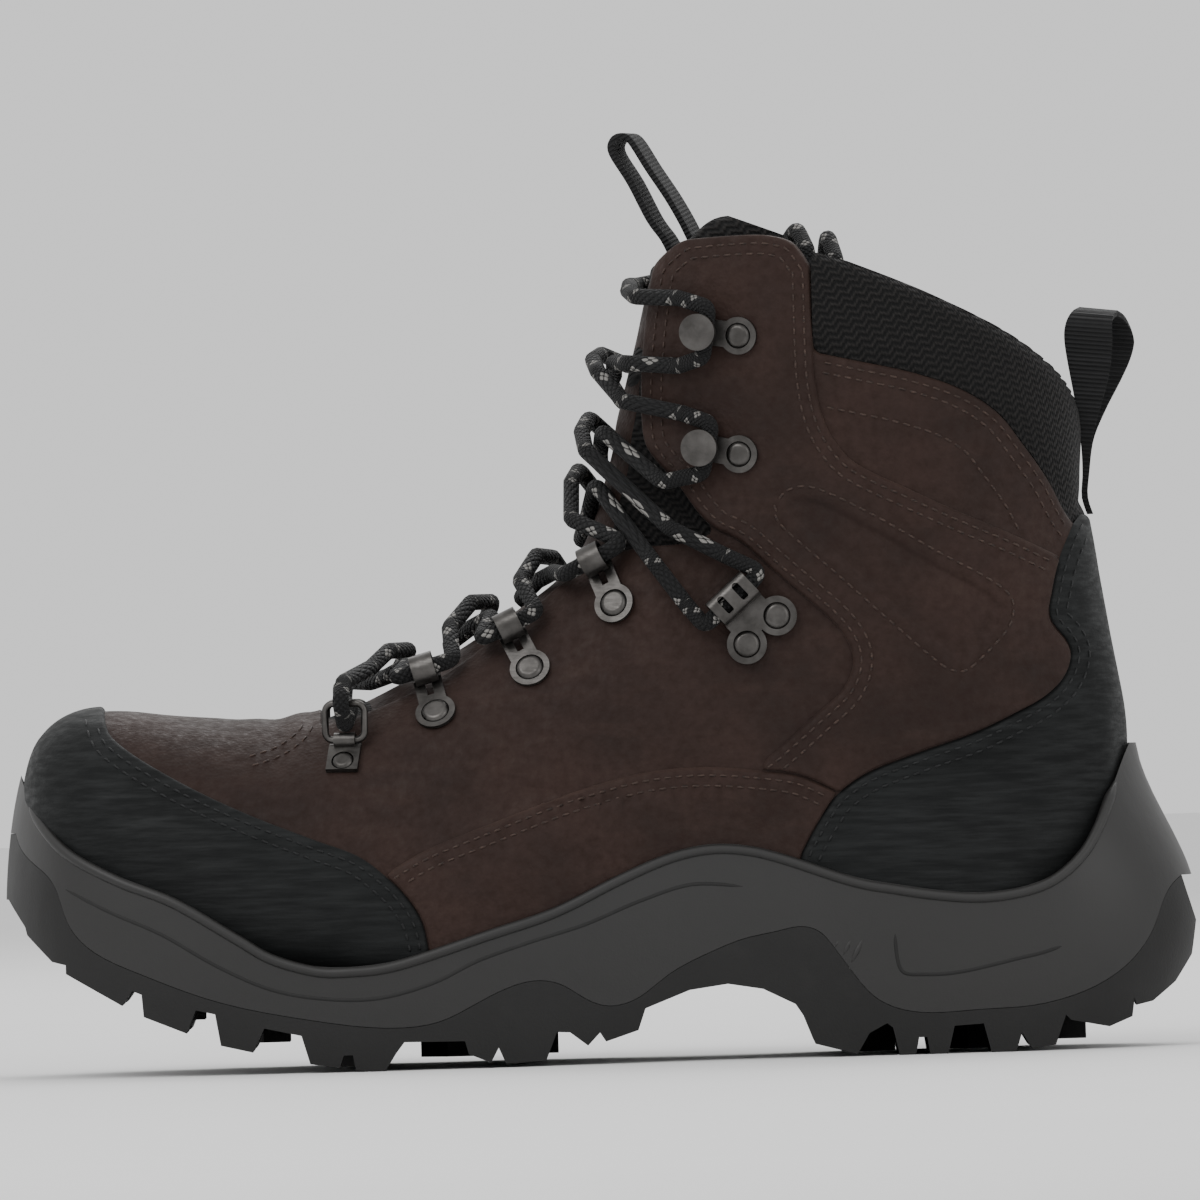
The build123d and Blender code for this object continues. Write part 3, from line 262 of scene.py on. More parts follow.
def surface(t, phi, depth):
    """Points of a layer, on the CAD leather's own shape."""
    high = plain_surface(t, phi, depth)
    low = plain_surface(t, phi, depth - 8.0)
    way = high - low
    way /= np.linalg.norm(way, axis=1)[:, None]
    i = np.clip(np.searchsorted(GRID_T, t, side="right") - 1, 0, len(GRID_T) - 2)
    fi = np.clip((t - GRID_T[i]) / (GRID_T[i + 1] - GRID_T[i]), 0, 1)
    g = (phi + math.pi) / (2 * math.pi) * (len(GRID_PHI) - 1)
    j = np.clip(g.astype(int), 0, len(GRID_PHI) - 2)
    fj = np.clip(g - j, 0, 1)
    off = ((1 - fi) * ((1 - fj) * OFF_CAD[i, j] + fj * OFF_CAD[i, j + 1])
           + fi * ((1 - fj) * OFF_CAD[i + 1, j] + fj * OFF_CAD[i + 1, j + 1]))
    return high + way * off[:, None]


def as_piece(name, mesh, material, body="boot"):
    """Turns a bmesh into a smooth shaded object that rides a body."""
    data = bpy.data.meshes.new(name)
    mesh.to_mesh(data)
    mesh.free()
    data.shade_smooth()
    obj = bpy.data.objects.new(name, data)
    bpy.context.scene.collection.objects.link(obj)
    data.materials.append(material)
    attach(obj, body)
    return obj


def skin_between(mesh, rings, closed):
    """Faces between rows of vertices that follow each other, round the end of each row when it is closed."""
    for r0, r1 in zip(rings, rings[1:]):
        for k in range(len(r0) if closed else len(r0) - 1):
            after = (k + 1) % len(r0)
            mesh.faces.new([r0[k], r0[after], r1[after], r1[k]])


PANELS = {}
SOLE_TREE = tree_of([NODES["midsole"]])
FEATHER_X, FEATHER_Z = np.array(FEATHER).T
HEEL_CENTRE = 92.0  # behind this the heel rounds off
LIP_ROOM, FULL_TO, PLAIN_FROM = 3.2, 10.0, 38.0  # mm: leather to sole wall; heights of the fuller part
FULL_START, FULL_FADE = -70.0, 30.0  # mm: where the fuller part starts behind the toe, and grows over
BEHIND_LIP, HIT_BELOW = 15.0, 2.0  # mm below the lip that still moves; ray height below the lip
MIDDLE_GAP = 3.0  # mm each side of the middle plane that stays plain
ROOM_LOSS = 0.1  # mm of room given up for each mm above the lip
RIM_WIDTH = 8.0  # mm from a seam over which the leather counts as its rim
OUTSIDE_KEPT = 3.0  # mm of the grid kept outside a seam until it is cut


def fuller(base):
    """How far the upper stands out beyond the CAD leather low down, in mm, to fill the ledge inside the sole
    wall that the CAD leather leaves open."""
    x, y, z = base.T
    edge = np.interp(x, FEATHER_X, FEATHER_Z)
    height = z - edge
    out = np.stack([np.maximum(x - HEEL_CENTRE, 0.0), y, np.zeros_like(x)], 1)
    out /= np.linalg.norm(out, axis=1)[:, None] + 1e-9
    moved = np.zeros_like(base)
    low = (height < PLAIN_FROM) & (height > -BEHIND_LIP)
    for k in np.flatnonzero((x > FULL_START) & low & (np.abs(y) > MIDDLE_GAP)):
        hit = SOLE_TREE.ray_cast(Vector((x[k], y[k], edge[k] - HIT_BELOW)) * MM, Vector(out[k]))[3]
        if hit is not None:
            room = hit / MM - LIP_ROOM - ROOM_LOSS * max(height[k], 0.0)
            f = min(max((PLAIN_FROM - height[k]) / (PLAIN_FROM - FULL_TO), 0.0), 1.0)
            ends = min((x[k] - FULL_START) / FULL_FADE, 1.0) * abs(out[k][1])
            moved[k] = out[k] * max(room, 0.0) * f * f * (3 - 2 * f) * ends
    return moved


def cut(mesh, layer, value):
    """Split the mesh along a level of a vertex field."""
    at = []
    for edge in list(mesh.edges):
        a, b = edge.verts
        fa, fb = a[layer] - value, b[layer] - value
        if fa * fb < 0 and abs(fa) > 1e-4 and abs(fb) > 1e-4:
            at.append((edge, a, fa / (fa - fb)))
    fields = list(mesh.verts.layers.float.values())
    new = set()
    for edge, a, f in at:
        b = edge.other_vert(a)
        values = [a[x] + (b[x] - a[x]) * f for x in fields]
        _, vert = bmesh.utils.edge_split(edge, a, f)
        for x, v in zip(fields, values):
            vert[x] = v
        new.add(vert)
    for face in list(mesh.faces):
        ends = [v for v in face.verts if v in new or abs(v[layer] - value) < 1e-4]
        if len(ends) == 2 and not any(set(e.verts) == set(ends) for e in face.edges):
            bmesh.utils.face_split(face, ends[0], ends[1])


def panel(name, fields_at, depth_at, levels, material, body="boot", replaced=(), phi=(-3.2, 3.2), t=(0, 99),
          outer=True):
    """A sheet of the upper. fields_at gives vertex fields from the places of the grid: the first one is the
    distance inside the seam in mm. depth_at gives the depth from those fields and the place. Outer sheets
    stand out towards the sole wall low down."""
    gt = GRID_T[(GRID_T >= t[0]) & (GRID_T <= t[1])]
    gp = GRID_PHI[(GRID_PHI >= phi[0]) & (GRID_PHI <= phi[1])]
    tt, pp = (v.ravel() for v in np.meshgrid(gt, gp, indexing="ij"))
    flat = surface(tt, pp, np.zeros_like(tt))
    fields = fields_at(flat)
    keep = fields[0] > -OUTSIDE_KEPT
    mesh = bmesh.new()
    layers = [mesh.verts.layers.float.new(f"f{k}") for k in range(len(fields) + 2)]
    rows, cols = len(gt), len(gp)
    verts = {}
    inner = keep.reshape(rows, cols)
    cells = inner[:-1, :-1] | inner[1:, :-1] | inner[:-1, 1:] | inner[1:, 1:]
    values = [*fields, tt, pp]

    def vert(k):
        if k not in verts:
            v = mesh.verts.new(flat[k])
            for x, value in zip(layers, values):
                v[x] = value[k]
            verts[k] = v
        return verts[k]

    for i, j in np.argwhere(cells):
        k = i * cols + j
        mesh.faces.new([vert(k), vert(k + cols), vert(k + cols + 1), vert(k + 1)])
    for which, value in levels:
        cut(mesh, layers[which], value)
    bmesh.ops.delete(mesh, geom=[v for v in mesh.verts if v[layers[0]] < -1e-3], context="VERTS")
    mesh.verts.ensure_lookup_table()
    found = [np.array([v[x] for v in mesh.verts]) for x in layers]
    depth = depth_at(found[:-2], np.array([v.co for v in mesh.verts]))
    place = surface(found[-2], found[-1], depth)
    if outer:
        place += fuller(surface(found[-2], found[-1], np.zeros(len(place))))
    place *= MM
    for v, p in zip(mesh.verts, place):
        v.co = p
    obj = as_piece(name, mesh, material, body)
    rim = obj.data.attributes.new("rim", "FLOAT", "POINT")
    rim.data.foreach_set("value", np.clip(found[0] / RIM_WIDTH, 0, 1).astype(np.float32))
    if replaced:
        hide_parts(*replaced)
    PANELS[name] = obj
    return obj


# ---- materials ----
class Shader:
    """A node tree written as short calls."""

    def __init__(self, name, roughness=0.6, metallic=0.0, sheen=0.0, specular=0.5):
        self.material = bpy.data.materials.new(name)
        self.material.use_nodes = True
        self.tree = self.material.node_tree
        self.out = self.tree.nodes["Principled BSDF"]
        self.out.inputs["Roughness"].default_value = roughness
        self.out.inputs["Metallic"].default_value = metallic
        self.out.inputs["Sheen Weight"].default_value = sheen
        self.out.inputs["Sheen Roughness"].default_value = 0.5
        self.out.inputs["Specular IOR Level"].default_value = specular
        self.place = self.add("ShaderNodeTexCoord").outputs["Object"]

    def add(self, kind, inputs=(), **settings):
        node = self.tree.nodes.new(kind)
        for key, value in settings.items():
            setattr(node, key, value)
        for key, value in dict(inputs).items():
            if isinstance(value, bpy.types.NodeSocket):
                self.tree.links.new(value, node.inputs[key])
            else:
                node.inputs[key].default_value = value
        return node

    def stretched(self, scale, turn=(0, 0, 0)):
        inputs = {"Vector": self.place, "Scale": scale, "Rotation": turn}
        return self.add("ShaderNodeMapping", inputs).outputs[0]

    def noise(self, scale, detail=4.0, vector=None):
        inputs = {"Vector": vector or self.place, "Scale": scale, "Detail": detail, "Roughness": 0.6}
        return self.add("ShaderNodeTexNoise", inputs).outputs["Fac"]

    def math(self, operation, a, b=0.0):
        return self.add("ShaderNodeMath", {0: a, 1: b}, operation=operation).outputs[0]

    def span(self, value, low, high, to_low=0.0, to_high=1.0):
        return self.add("ShaderNodeMapRange", {"Value": value, "From Min": low, "From Max": high,
                                               "To Min": to_low, "To Max": to_high}).outputs[0]

    def attribute(self, name):
        return self.add("ShaderNodeAttribute", attribute_name=name).outputs["Fac"]

    def mix(self, fac, a, b):
        node = self.add("ShaderNodeMix", data_type="RGBA", blend_type="MIX")
        for socket, value in ((node.inputs[0], fac), (node.inputs[6], a), (node.inputs[7], b)):
            if isinstance(value, bpy.types.NodeSocket):
                self.tree.links.new(value, socket)
            else:
                socket.default_value = value if not isinstance(value, tuple) else (*value, 1.0)
        return node.outputs[2]

    def colour(self, socket):
        self.tree.links.new(socket, self.out.inputs["Base Color"])

    def rough(self, socket):
        self.tree.links.new(socket, self.out.inputs["Roughness"])

    def bump(self, *pairs):
        normal = None
        for height, distance in pairs:
            inputs = {"Height": height, "Distance": distance, "Strength": 1.0}
            if normal is not None:
                inputs["Normal"] = normal
            normal = self.add("ShaderNodeBump", inputs).outputs[0]
        self.tree.links.new(normal, self.out.inputs["Normal"])


def brown_nubuck():
    s = Shader("brown_nubuck", sheen=0.03, specular=0.2)
    cloud = s.noise(28.0, 5.0)
    nap = s.noise(420.0, 3.0)
    streak = s.noise(1.0, 4.0, s.stretched((35, 60, 160), (0, 0.5, 0)))
    tone = s.mix(s.span(cloud, 0.35, 0.68), (0.0150, 0.0070, 0.0050), (0.0300, 0.0148, 0.0108))
    tone = s.mix(s.span(streak, 0.5, 0.75, 0.0, 0.45), tone, (0.040, 0.0215, 0.016))
    tone = s.mix(s.span(nap, 0.3, 0.7, 0.0, 0.5), tone, (0.0165, 0.0080, 0.0060))
    worn = s.math("MULTIPLY", s.span(s.attribute("rim"), 0.0, 0.09, 1.0, 0.0), s.span(cloud, 0.4, 0.7))
    tone = s.mix(s.math("MULTIPLY", worn, 0.55), tone, (0.070, 0.042, 0.032))
    s.colour(tone)
    s.rough(s.span(nap, 0.3, 0.7, 0.55, 0.78))
    grain = s.add("ShaderNodeTexVoronoi", {"Vector": s.place, "Scale": 950.0}).outputs["Distance"]
    s.bump((s.noise(60.0, 5.0), 0.0005), (grain, 0.00010), (nap, 0.00012))
    return s.material


def black_nubuck():
    s = Shader("black_nubuck", sheen=0.02, specular=0.2)
    cloud = s.noise(24.0, 4.0)
    brushed = s.noise(1.0, 5.0, s.stretched((70, 160, 700), (0, -0.25, 0)))
    nap = s.noise(700.0, 2.0)
    tone = s.mix(s.span(cloud, 0.35, 0.68), (0.0034, 0.0039, 0.0040), (0.0062, 0.0071, 0.0072))
    tone = s.mix(s.span(brushed, 0.42, 0.72, 0.0, 0.75), tone, (0.0105, 0.0118, 0.0120))
    worn = s.span(s.attribute("rim"), 0.0, 0.07, 0.35, 0.0)
    tone = s.mix(worn, tone, (0.016, 0.0168, 0.0168))
    s.colour(tone)
    s.rough(s.span(brushed, 0.35, 0.7, 0.80, 0.55))
    s.bump((cloud, 0.0005), (brushed, 0.00022), (nap, 0.00008))
    return s.material


def knit():
    """Spacer knit: zigzag ribs of small loops."""
    pitch, dark, light = 0.0019, (0.0025, 0.0025, 0.0026), (0.019, 0.017, 0.016)
    s = Shader("knit", roughness=0.8, sheen=0.03, specular=0.2)
    xyz = s.add("ShaderNodeSeparateXYZ", {0: s.stretched((1, 1, 1), (0, 0.42, 0))})
    x, y, z = xyz.outputs
    around = s.math("ADD", x, s.math("MULTIPLY", y, 0.55))
    zig = s.math("PINGPONG", around, pitch * 0.9)
    row = s.math("MULTIPLY", s.math("ADD", z, s.math("MULTIPLY", zig, 0.75)), 2 * math.pi / pitch)
    rib = s.math("SINE", row)
    loop = s.math("SINE", s.math("MULTIPLY", around, 2 * math.pi / (pitch * 0.45)))
    height = s.math("ADD", s.span(rib, -1, 1), s.math("MULTIPLY", s.span(loop, -1, 1), 0.35))
    fuzz = s.noise(900.0, 2.0)
    tone = s.mix(s.span(height, 0.35, 1.25), dark, light)
    tone = s.mix(s.span(fuzz, 0.3, 0.75, 0.0, 0.6), tone, dark)
    s.colour(tone)
    s.bump((height, 0.00045), (fuzz, 0.0001))
    return s.material


def webbing(axis):
    """Ribbed black webbing, the ribs across the given direction."""
    s = Shader("webbing", roughness=0.72, sheen=0.03, specular=0.25)
    turned = s.stretched((1, 1, 1), (0, axis, 0))
    _, y, z = s.add("ShaderNodeSeparateXYZ", {0: turned}).outputs
    rib = s.math("SINE", s.math("MULTIPLY", z, 2 * math.pi / 0.0011))
    cross = s.math("SINE", s.math("MULTIPLY", y, 2 * math.pi / 0.0008))
    height = s.math("ADD", s.span(rib, -1, 1), s.math("MULTIPLY", s.span(cross, -1, 1), 0.5))
    s.colour(s.mix(s.span(height, 0.3, 1.4), (0.003, 0.003, 0.0032), (0.0125, 0.0125, 0.013)))
    s.bump((height, 0.00035))
    return s.material


def foam():
    s = Shader("midsole_foam", specular=0.5)
    cloud = s.noise(14.0, 5.0)
    fine = s.noise(1500.0, 2.0)
    s.colour(s.mix(s.span(cloud, 0.35, 0.7), (0.0085, 0.0081, 0.0077), (0.0130, 0.0124, 0.0118)))
    s.rough(s.span(cloud, 0.3, 0.7, 0.42, 0.56))
    s.bump((cloud, 0.0006), (fine, 0.00003))
    return s.material


def rubber():
    s = Shader("outsole_rubber", specular=0.4)
    cloud = s.noise(20.0, 5.0)
    fine = s.noise(1200.0, 2.0)
    dust = s.span(s.noise(90.0, 6.0), 0.55, 0.8, 0.0, 0.35)
    tone = s.mix(cloud, (0.0050, 0.0049, 0.0047), (0.0085, 0.0082, 0.0079))
    s.colour(s.mix(dust, tone, (0.017, 0.016, 0.015)))
    s.rough(s.span(cloud, 0.3, 0.7, 0.55, 0.72))
    s.bump((fine, 0.00006))
    return s.material


def antique_nickel():
    s = Shader("antique_nickel", metallic=0.95)
    cloud = s.noise(160.0, 5.0)
    scratch = s.noise(1.0, 4.0, s.stretched((300, 300, 2400), (0, 0.7, 0)))
    s.colour(s.mix(s.span(cloud, 0.35, 0.7), (0.055, 0.052, 0.049), (0.115, 0.109, 0.104)))
    s.rough(s.span(scratch, 0.35, 0.7, 0.30, 0.46))
    s.bump((scratch, 0.00003))
    return s.material


def plain_cloth(name, dark, light, pitch=0.0009):
    """A close plain weave."""
    s = Shader(name, roughness=0.85, sheen=0.02, specular=0.2)
    x, y, z = s.add("ShaderNodeSeparateXYZ", {0: s.place}).outputs
    a = s.math("SINE", s.math("MULTIPLY", s.math("ADD", x, y), 2 * math.pi / pitch))
    b = s.math("SINE", s.math("MULTIPLY", s.math("SUBTRACT", z, y), 2 * math.pi / pitch))
    height = s.span(s.math("MULTIPLY", a, b), -1, 1)
    cloud = s.noise(40.0, 4.0)
    s.colour(s.mix(s.math("MULTIPLY", height, s.span(cloud, 0.3, 0.7, 0.5, 1.0)), dark, light))
    s.bump((height, 0.00025))
    return s.material


def thread(name, dark, light):
    s = Shader(name, roughness=0.6, sheen=0.02, specular=0.3)
    twist = s.noise(1.0, 2.0, s.stretched((900, 900, 2600), (0, 0.6, 0)))
    s.colour(s.mix(s.span(twist, 0.35, 0.65), dark, light))
    s.bump((twist, 0.00008))
    return s.material


def braid(length, radius):
    """Round braid: crossing carriers, with pairs of pale picks along two of them."""
    s = Shader("lace_braid", roughness=0.7, sheen=0.03, specular=0.25)
    uv = s.add("ShaderNodeTexCoord").outputs["UV"]
    along_raw, round_raw, _ = s.add("ShaderNodeSeparateXYZ", {0: uv}).outputs
    along = s.math("MULTIPLY", along_raw, length / (2 * math.pi * radius))
    carriers, steepness = 8.0, 1.15
    right = s.math("MULTIPLY", s.math("ADD", s.math("MULTIPLY", along, steepness), round_raw), carriers)
    left = s.math("MULTIPLY", s.math("SUBTRACT", s.math("MULTIPLY", along, steepness), round_raw), carriers)
    a = s.math("ABSOLUTE", s.math("SINE", s.math("MULTIPLY", right, math.pi)))
    b = s.math("ABSOLUTE", s.math("SINE", s.math("MULTIPLY", left, math.pi)))
    height = s.math("MULTIPLY", a, b)
    strand = s.math("FLOOR", s.math("MODULO", s.math("ADD", right, 4000.0), carriers))
    pick = s.math("FLOOR", s.math("MODULO", s.math("ADD", left, 4000.0), 4.0))
    pale = s.math("MULTIPLY", s.math("LESS_THAN", strand, 1.5), s.math("LESS_THAN", pick, 1.5))
    pale = s.math("MULTIPLY", pale, s.math("GREATER_THAN", height, 0.22))
    cloth = s.mix(s.span(height, 0.05, 0.8), (0.0018, 0.0018, 0.002), (0.0075, 0.0076, 0.008))
    s.colour(s.mix(pale, cloth, (0.22, 0.212, 0.20)))
    s.bump((height, 0.0005))
    return s.material


BROWN = brown_nubuck()
BLACK = black_nubuck()
KNIT = knit()
METAL = antique_nickel()
FOAM = foam()
RUBBER = rubber()
LINING = plain_cloth("lining_knit", (0.004, 0.004, 0.0042), (0.022, 0.021, 0.020))
BOARD = plain_cloth("fibre_board", (0.008, 0.0066, 0.005), (0.02, 0.0165, 0.012))
FOOTBED = plain_cloth("footbed_textile", (0.010, 0.010, 0.011), (0.045, 0.044, 0.046), 0.0013)
BROWN_THREAD = thread("brown_thread", (0.014, 0.0075, 0.0055), (0.060, 0.036, 0.027))
BLACK_THREAD = thread("black_thread", (0.0025, 0.0028, 0.003), (0.013, 0.0142, 0.0146))

# ---- the upper ----
def rounded(s, low, high, width):
    """Depth that rolls from low at the seam up to high over the given width."""
    f = np.clip(s / width, 0, 1)
    return low + (high - low) * np.sqrt(1 - (1 - f) ** 2)


def ripple(place, size, amount):
    """Gentle unevenness of the leather, in mm."""
    x, y, z = (place / size).T
    broad = np.sin(x + 1.3 * z) * np.sin(0.8 * y + 0.5 * z + 1)
    return amount * (broad + 0.5 * np.sin(2.3 * x - 1.7 * z + 0.9 * y + 2))


def area(*terms):
    """Distance inside several seams at once; a term is (outline, +1 inside or -1 outside, gap)."""
    return lambda p: [np.min([sign * distance(p[:, [0, 2]], line) - gap for line, sign, gap in terms], 0)]


def leather_depth(low, high, width, amount=0.18):
    return lambda f, p: rounded(f[0], low, high, width) + ripple(p, 9.0, amount) * np.clip(f[0] / 4, 0, 1)


EDGE = [(0, 0.0), (0, 0.18), (0, 0.5), (0, 1.0)]
LATERAL, MEDIAL = (-3.2, 0.0001), (-0.0001, 3.2)
HALVES = ((-1, "lateral", LATERAL), (1, "medial", MEDIAL))

panel("toe_cap_leather", area((TOE, 1, 0), (ABOVE_SOLE, 1, 0)), leather_depth(0.0, OVERLAY, 1.0), EDGE, BLACK,
      replaced=["toe_cap"], t=(0, 8.5))
BOARD_AREA = outline([(-165.0, 90.0), (-152.0, 84.0), (-139.0, 70.0), (-124.0, 60.0), (-102.0, 48.0),
                      (-76.0, 36.0), (-50.0, 36.0), (-22.0, 45.0), (10.0, 55.0), (50.0, 56.0),
                      (95.0, 48.0), (118.0, 55.0), (130.0, 72.0), (150.0, 90.0)],
                     [(150.0, -10.0), (-165.0, -10.0)])
panel("lasting_board", area((BOARD_AREA, 1, 0)), lambda f, p: np.full(len(p), -0.5), [(0, 0.0)], BOARD,
      replaced=["insole_board"], t=(0, 14), outer=False)
panel("heel_cover_leather", area((HEEL, 1, 0), (ABOVE_SOLE, 1, 0)), leather_depth(0.0, OVERLAY, 1.0), EDGE,
      BLACK, replaced=["heel_cover"], t=(7, 16))


def vamp_depth(f, p):
    flex = np.exp(-(((p[:, 0] + 78) / 14) ** 2)) * np.clip((p[:, 2] - 70) / 15, 0, 1)
    fold = np.sin((p[:, 0] + 0.35 * p[:, 2]) / 1.9 + 0.06 * np.abs(p[:, 1]))
    waves = ripple(p, 10.0, 0.25) + 0.35 * flex * fold
    return rounded(f[0], LEATHER_IN, LEATHER, 1.0) + waves * np.clip(f[0] / 5, 0, 1)


panel("vamp_leather", area((LEATHER_AREA, 1, 0), (VAMP, 1, 0), (ABOVE_SOLE, 1, 0)), vamp_depth, EDGE, BROWN,
      replaced=["vamp"], t=(0, 15.999))


PANEL_EDGE = curve(PANEL)
FACING_GAP = 0.3


def facing_fields(p):
    seams = area((FACING, 1, 0), (MUD, -1, FACING_GAP), (HEEL, -1, FACING_GAP), (ABOVE_SOLE, 1, 0))
    return seams(p) + [distance(p[:, [0, 2]], PANEL_EDGE)]


def facing_depth(f, p):
    dent = np.clip((f[1] + 0.4) / 1.6, 0, 1)
    rim = np.exp(-((f[1] + 1.3) / 0.8) ** 2)
    fill = 0.5 * np.clip((f[1] - 2.0) / 3.0, 0, 1)
    return leather_depth(-0.3, OVERLAY, 1.0)(f, p) - 0.75 * dent * dent * (3 - 2 * dent) + 0.18 * rim + fill


QUARTER_SEAMS = area((LEATHER_AREA, 1, 0), (VAMP, -1, -1.5), (ABOVE_SOLE, 1, 0))
MUD_SEAMS = area((MUD, 1, 0), (TOE, -1, 0.25), (HEEL, -1, 0.25), (ABOVE_SOLE, 1, 0))
FACING_LEVELS = EDGE + [(1, v) for v in (-2.0, -1.3, -0.4, 0.4, 1.2)]
for side, name, phi in HALVES:
    panel(f"quarter_leather_{name}", QUARTER_SEAMS, leather_depth(LEATHER_IN, LEATHER - 0.02, 1.0), EDGE,
          BROWN, phi=phi, replaced=[f"quarter_{name}"])
    panel(f"mudguard_leather_{name}", MUD_SEAMS, leather_depth(-0.3, OVERLAY - 0.1, 1.0), EDGE, BROWN,
          phi=phi, replaced=[f"mudguard_{name}"])
    panel(f"ankle_facing_leather_{name}", facing_fields, facing_depth, FACING_LEVELS, BROWN,
          phi=phi, replaced=[f"ankle_facing_{name}"])

# ---- padded collar, tongue and lining ----
CUFF_LINE, COLLAR_LINE = curve(CUFF_TOP), curve(COLLAR_TOP)
TONGUE_PUSH = 0.06  # radians that the lining leaves free for the tongue when it is pushed into the shaft
TONGUE_HINGE_X, TONGUE_HINGE_Z, TONGUE_GAP = -72.0, 84.0, 1.6
LINING_FRONT = [(x + TONGUE_GAP + TONGUE_PUSH * (z - TONGUE_HINGE_Z),
                 z - TONGUE_GAP - TONGUE_PUSH * (x - TONGUE_HINGE_X)) for x, z in TONGUE_BACK]
LINING_CUT = outline([(-75.2, 82.8)], LINING_FRONT, [(60.5, 260.0), (-90.0, 260.0)], [(-75.6, 110.0)])
CUFF_ABOVE = outline(CUFF_TOP, [(150.0, 130.0), (150.0, 260.0)], [(57.0, 260.0)])
SHAFT_AREA = outline(list(reversed(FACING_TOP)), [(19.0, 200.0), (-170.0, 120.0)],
                     [(-170.0, 0.0), (170.0, 0.0)], [(170.0, 206.0)])
COLLAR_MID, COLLAR_SOFT = -2.4, 5.5


def collar_fields(p):
    at = p[:, [0, 2]]
    return [distance(at, COLLAR), distance(at, CUFF_LINE, False), distance(at, COLLAR_LINE, False)]


def collar_outer(f, p):
    full = -1.0 + 2.6 * (1 - np.exp(-f[1] / 4.5)) + ripple(p, 14.0, 0.2)
    return rounded(f[2], COLLAR_MID, full, COLLAR_SOFT)


def collar_inner(f, p):
    return rounded(f[2], COLLAR_MID, LINING_IN, COLLAR_SOFT)


ROLL = [(0, 0.0), (2, 0.25), (2, 0.9), (2, 2.0), (2, 3.5)]
collar = panel("collar_knit", collar_fields, collar_outer, ROLL, KNIT, replaced=["collar"], t=(7, 16))
panel("collar_lining", collar_fields, collar_inner, ROLL, KNIT, t=(7, 16), outer=False)
panel("boot_lining", area((SHAFT_AREA, 1, 0), (LINING_CUT, -1, 0), (CUFF_ABOVE, -1, 0)),
      lambda f, p: rounded(f[0], LINING_OUT, LINING_IN, 2.5), EDGE + [(0, 1.8)], LINING,
      replaced=["lining_lateral", "lining_medial"], outer=False)

TONGUE_MID = (LINING_OUT + LINING_IN) / 2


def tongue_outer(f, p):
    swell = 1.1 * np.clip((p[:, 2] - 204) / 6, 0, 1)
    waves = ripple(p, 12.0, 0.12) * np.clip(f[0] / 4, 0, 1)
    return rounded(f[0], TONGUE_MID, LINING_OUT + swell, 3.0) + waves


TONGUE_EDGE = EDGE + [(0, 2.0), (0, 3.0)]
tongue_pad = panel("tongue_pad", area((TONGUE, 1, 0)), tongue_outer, TONGUE_EDGE, KNIT, body="tongue",
                   replaced=["tongue"], t=(4, 16))
panel("tongue_lining", area((TONGUE, 1, 0)), lambda f, p: rounded(f[0], TONGUE_MID, LINING_IN, 3.0),
      TONGUE_EDGE, LINING, body="tongue", t=(4, 16))


def tongue_face(p):
    width = 21.0 - 5.0 * np.clip((p[:, 2] - 120) / 60, 0, 1)
    return [np.min([distance(p[:, [0, 2]], TONGUE), width - np.abs(p[:, 1]), 206.0 - p[:, 2]], 0)]


panel("tongue_leather", tongue_face, lambda f, p: rounded(f[0], LINING_OUT - 0.3, LINING_OUT + 0.12, 1.0),
      EDGE, BROWN, body="tongue", t=(4, 16))


# ---- stitching: every stitch is a small raised bead with its ends sunk into the leather ----
STITCH_PITCH, STITCH_LENGTH, STITCH_WIDTH, STITCH_HEIGHT = 2.9, 2.05, 0.62, 0.5  # mm
STITCH_LIFT, STITCH_SUNK, STITCH_MOST = 0.12, 0.25, 2.6  # mm, mm, times its length where the ray slips off
STITCH_SECTIONS = ((-0.5, 0.45), (-0.3, 0.95), (0.3, 0.95), (0.5, 0.45))  # place along it, share of the size
STITCH_RING = 6
FAR_SIDE, WRONG_SIDE = 120.0, -0.004  # mm outside the boot; metres past the middle plane


def along(points, pitch):
    """Places a pitch apart along a smooth line, with the directions there."""
    steps = np.linalg.norm(np.diff(points, axis=0), axis=1)
    gone = np.concatenate([[0], np.cumsum(steps)])
    at = np.arange(pitch / 2, gone[-1], pitch)
    place = np.stack([np.interp(at, gone, points[:, k]) for k in range(points.shape[1])], 1)
    ahead = np.stack([np.interp(at + 0.3, gone, points[:, k]) for k in range(points.shape[1])], 1)
    behind = np.stack([np.interp(at - 0.3, gone, points[:, k]) for k in range(points.shape[1])], 1)
    return place, ahead - behind


def inset(points, amount):
    """A seam line moved sideways, to its left as it runs."""
    step = np.gradient(points, axis=0)
    step /= np.linalg.norm(step, axis=1)[:, None] + 1e-9
    return points + amount * np.stack([-step[:, 1], step[:, 0]], 1)


def stitch(mesh, start, end, up):
    """One bead between two places in mm; up is the way off the leather."""
    run = end - start
    ahead = run.normalized()
    across = up.cross(ahead).normalized()
    rings = []
    for share, full in STITCH_SECTIONS:
        lift = STITCH_LIFT - (STITCH_SUNK if abs(share) == 0.5 else 0.0)
        centre = (start + end) / 2 + ahead * share * run.length + up * lift
        ring = []
        for angle in np.arange(STITCH_RING) * math.tau / STITCH_RING:
            reach = across * math.cos(angle) * STITCH_WIDTH / 2 + up * math.sin(angle) * STITCH_HEIGHT / 2
            ring.append(mesh.verts.new((centre + reach * full) * MM))
        rings.append(ring)
    skin_between(mesh, rings, closed=True)
    mesh.faces.new(rings[0][::-1])
    mesh.faces.new(rings[-1])


